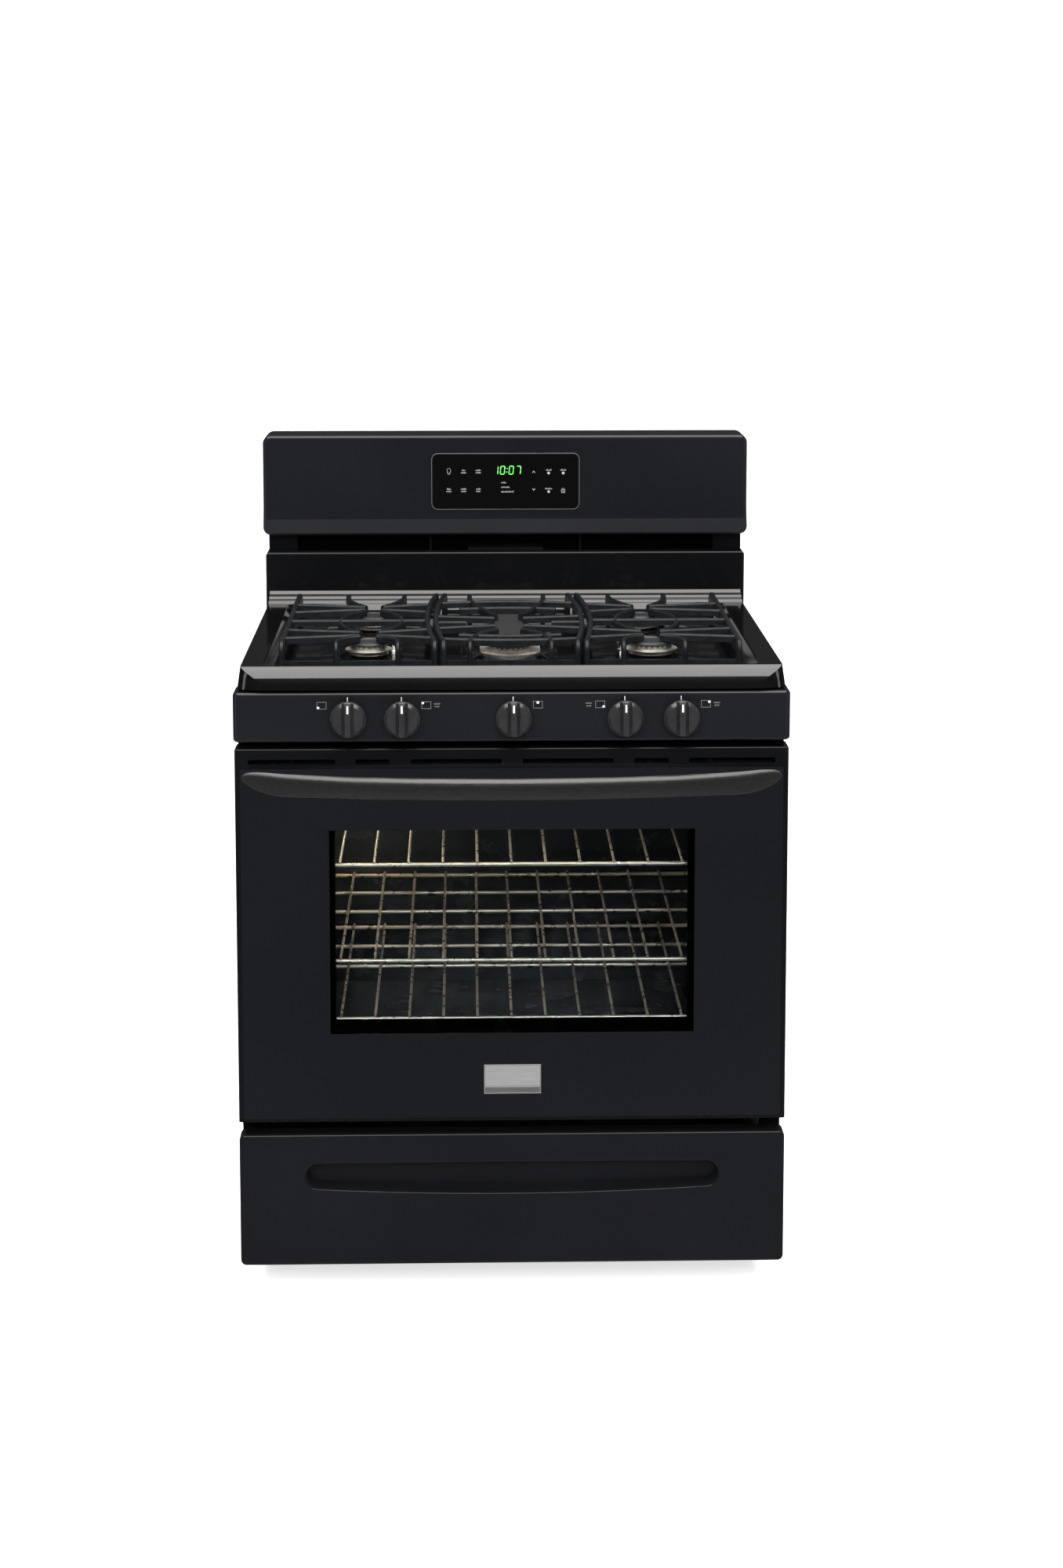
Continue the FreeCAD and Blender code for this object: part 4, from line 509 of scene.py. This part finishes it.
def display_marks():
    """Clock, key signs and worded keys stood in for by blocks, with the display's rim."""
    low, high = node_box("display_glass")
    middle = (low.z + high.z) / 2
    clock = Relief(low.y, 0.1)
    for text, x in zip("1007", (-15.0, -4.6, 9.0, 20.4)):
        digit(clock, text, x, middle + CLOCK_ROW, *DIGIT_SIZE)
    for z in COLON_ROWS:
        clock.disc(COLON_X + DIGIT_LEAN * (z - CLOCK_ROW), middle + z, 0.75, 10)
    clock.made("clock_digits", GREEN_LIGHT, "range_body", "display")

    keys = Relief(low.y, 0.1)
    upper, lower = middle + UPPER_KEY_ROW, middle + LOWER_KEY_ROW
    bulb_sign(keys, -88.7, upper)
    word_pairs = (
        (-65.7, upper, 5.5, 8.5), (-42.7, upper, 8.5, 8.5),
        (-88.7, lower, 6.5, 8.5), (-65.7, lower, 8.5, 8.5), (-42.7, lower, 7.5, 7.5),
    )
    for x, z, top, bottom in word_pairs:
        block_word(keys, x, z + 1.7, top)
        block_word(keys, x, z - 2.0, bottom)
    for z, way in ((upper, 1), (lower, -1)):
        stroke(keys, [(42.6, z - way * 2.0), (44.3, z + way * 0.9), (46.0, z - way * 2.0)], 0.8)
    for x, z, width in ((67.6, upper, 9.0), (90.4, upper, 9.0), (67.6, lower, 11.0)):
        block_word(keys, x, z + 1.9, width)
        keys.disc(x, z - 2.6, 2.1, 14)
    lock_sign(keys, 90.4, lower)
    for z, width in ((-2.2, 8.0), (-9.4, 13.5), (-16.6, 20.0)):
        block_word(keys, -7.0 + width / 2, middle + z, width)
    keys.made("display_keys", KEY_INK, "range_body", "display")

    rim = Relief(high.y, 1.4)
    outer = rounded_outline(low.x - 1.0, high.x + 1.0, low.z - 1.0, high.z + 1.0, 10.0)
    inner = rounded_outline(low.x - 0.1, high.x + 0.1, low.z - 0.1, high.z + 0.1, 9.1)
    rim.ring(outer, inner)
    rim.made("display_rim", RIM_METAL, "range_body", "display")


def badge_marks():
    """Raised rim and darker lower band on the plain badge."""
    low, high = node_box("badge_plate")
    x, middle = (low.x + high.x) / 2, (low.z + high.z) / 2
    width, height = high.x - low.x, high.z - low.z
    rim = Relief(low.y, 0.3)
    rim.frame(x, middle, width - 1.0, height - 1.0, 0.7)
    rim.made("badge_rim", RIM_METAL, "oven_door", "badge_metal")
    band = Relief(low.y, 0.15)
    band.bar(x, low.z + 5.6, width - 3.0, 7.6)
    band.made("badge_band", BAND_METAL, "oven_door", "badge_metal")


def lamp_bulb():
    """Small glowing bulb under the oven lamp's lens, turned about Y."""
    low, high = node_box("oven_lamp_lens")
    cx, cz, base = (low.x + high.x) / 2, (low.z + high.z) / 2, high.y
    profile = [(0.0, -13.0), (4.0, -12.0), (6.5, -9.0), (6.5, -6.0), (4.5, -2.5), (4.5, 0.0), (0.0, 0.0)]
    sides, verts, faces = 20, [], []
    for r, y in profile:
        for k in range(sides):
            angle = 2 * math.pi * k / sides
            verts.append((cx + r * math.cos(angle), base + y, cz + r * math.sin(angle)))
    for row in range(len(profile) - 1):
        for k in range(sides):
            after = (k + 1) % sides
            a, b = row * sides, (row + 1) * sides
            faces.append([a + k, a + after, b + after, b + k])
    make_piece("lamp_bulb", verts, faces, WARM_LIGHT, "range_body")


control_marks()
knob_lines()
display_marks()
badge_marks()
lamp_bulb()

# ---------------------------------------------------------------- studio
FLOOR_HALF = 14.0
WALL_Y = 7.0
COVE_R = 3.0
COVE_STEPS = 12
FLOOR_GLOW = 0.6
OVEN_LIGHT_POWER = 4.0
OVEN_SPILL_POWER = 1.0
OVERHEAD_POWER = 190.0
FRONT_POWER = 330.0
REAR_POWER = 130.0
SIDE_POWER = 8.0


def studio_floor():
    """White floor that curves up into a backdrop behind the range."""
    profile = [(-FLOOR_HALF, 0.0), (WALL_Y - COVE_R, 0.0)]
    for k in range(1, COVE_STEPS + 1):
        angle = math.radians(90 * k / COVE_STEPS)
        profile.append((WALL_Y - COVE_R + COVE_R * math.sin(angle), COVE_R - COVE_R * math.cos(angle)))
    profile.append((WALL_Y, FLOOR_HALF))
    verts, faces = [], []
    for y, z in profile:
        verts += [(-FLOOR_HALF, y, z), (FLOOR_HALF, y, z)]
    for k in range(len(profile) - 1):
        faces.append([2 * k, 2 * k + 1, 2 * k + 3, 2 * k + 2])
    mesh = bpy.data.meshes.new("studio_floor")
    mesh.from_pydata(verts, [], faces)
    mesh.shade_smooth()
    look = Material("studio_paper", (0.88, 0.88, 0.88), 0.9, Specular_IOR_Level=0.1)
    look.mottle(0.8, 0.01)
    look.shader.inputs["Emission Color"].default_value = (1, 1, 1, 1)
    look.shader.inputs["Emission Strength"].default_value = FLOOR_GLOW
    mesh.materials.append(look.material)
    floor = bpy.data.objects.new("studio_floor", mesh)
    bpy.context.scene.collection.objects.link(floor)
    floor.visible_glossy = False
    floor.visible_transmission = False


def softbox(name, place, target, size, power, color=(1, 1, 1)):
    """Rectangular area light aimed at a point."""
    light = bpy.data.lights.new(name, "AREA")
    light.shape = "RECTANGLE"
    light.size, light.size_y = size
    light.energy = power
    light.color = color
    lamp = bpy.data.objects.new(name, light)
    lamp.location = place
    lamp.rotation_euler = (Vector(target) - Vector(place)).to_track_quat("-Z", "Y").to_euler()
    bpy.context.scene.collection.objects.link(lamp)
    return lamp


def oven_light():
    """Warm light from the oven lamp, and its spill over the front of the racks."""
    low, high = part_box("oven_lamp_lens")
    light = bpy.data.lights.new("oven_light", "POINT")
    light.energy = OVEN_LIGHT_POWER
    light.color = (1.0, 0.74, 0.46)
    light.shadow_soft_size = 0.02
    lamp = bpy.data.objects.new("oven_light", light)
    lamp.location = ((low[0] + high[0]) / 2, low[1] - 0.03, (low[2] + high[2]) / 2)
    bpy.context.scene.collection.objects.link(lamp)
    mouth_low, mouth_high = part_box("oven_liner")
    y = mouth_low[1] + 0.022
    place, target = (-0.05, y, mouth_high[2] - 0.03), (-0.05, y + 0.02, 0.3)
    softbox("oven_spill", place, target, (0.5, 0.012), OVEN_SPILL_POWER, (1.0, 0.86, 0.66))


# grey of the surroundings by height, from straight down at 0 to straight up at 1
ROOM_SHADES = ((0.1, 0.5), (0.25, 0.3), (0.35, 0.08), (0.5, 0.035), (0.62, 0.045), (0.75, 0.15), (1.0, 0.3))


def world_light():
    """White to the camera; to the surfaces, a dim room that is lighter above and below."""
    world = bpy.data.worlds.new("studio")
    world.use_nodes = True
    tree = world.node_tree
    ground = tree.nodes["Background"]
    spot = tree.nodes.new("ShaderNodeTexCoord")
    split = tree.nodes.new("ShaderNodeSeparateXYZ")
    tree.links.new(spot.outputs["Generated"], split.inputs["Vector"])
    height = tree.nodes.new("ShaderNodeMapRange")
    height.inputs["From Min"].default_value = -1.0
    tree.links.new(split.outputs["Z"], height.inputs["Value"])
    shades = tree.nodes.new("ShaderNodeValToRGB")
    tree.links.new(height.outputs["Result"], shades.inputs["Fac"])
    fill_ramp(shades.color_ramp, [(place, (shade, shade, shade * 1.03)) for place, shade in ROOM_SHADES])
    tree.links.new(shades.outputs["Color"], ground.inputs["Color"])
    paper = tree.nodes.new("ShaderNodeBackground")
    paper.inputs["Color"].default_value = (0.9, 0.9, 0.9, 1)
    sight = tree.nodes.new("ShaderNodeLightPath")
    mix = tree.nodes.new("ShaderNodeMixShader")
    tree.links.new(sight.outputs["Is Camera Ray"], mix.inputs[0])
    tree.links.new(ground.outputs["Background"], mix.inputs[1])
    tree.links.new(paper.outputs["Background"], mix.inputs[2])
    tree.links.new(mix.outputs["Shader"], tree.nodes["World Output"].inputs["Surface"])
    bpy.context.scene.world = world


studio_floor()
world_light()
oven_light()
softbox("overhead", (0.0, -0.9, 2.95), (0.0, -0.9, 0.0), (3.4, 3.0), OVERHEAD_POWER, (1.0, 0.985, 0.955))
fill = softbox("front_fill", (0.0, -4.8, 3.0), (0.0, 0.0, 0.6), (3.6, 1.6), FRONT_POWER)
fill.visible_glossy = False
rear_fill = softbox("rear_fill", (0.0, 4.6, 2.6), (0.0, 0.3, 0.6), (3.0, 1.5), REAR_POWER)
rear_fill.visible_camera = False
rear_fill.visible_glossy = False
for side, x in (("side_left", -3.2), ("side_right", 3.2)):
    softbox(side, (x, -1.6, 1.2), (0.0, 0.0, 0.8), (0.5, 2.2), SIDE_POWER)

# ---------------------------------------------------------------- camera
CAMERA_PLACE = (-0.063, -3.904, 1.573)
CAMERA_PITCH = 0.1213
CAMERA_YAW = 0.0248
CAMERA_SHIFT = -0.18      # a small downward shift, which keeps upright edges close to parallel
FOCAL_SHARE = 1.713       # focal length as a share of the picture's height
SENSOR = 36.0


def camera():
    data = bpy.data.cameras.new("camera")
    data.sensor_width = SENSOR
    data.lens = FOCAL_SHARE * SENSOR
    data.shift_y = CAMERA_SHIFT
    eye = bpy.data.objects.new("camera", data)
    eye.location = CAMERA_PLACE
    eye.rotation_euler = (math.pi / 2 - CAMERA_PITCH, 0, -CAMERA_YAW)
    bpy.context.scene.collection.objects.link(eye)
    bpy.context.scene.camera = eye


camera()
bpy.context.scene.view_settings.view_transform = "Standard"
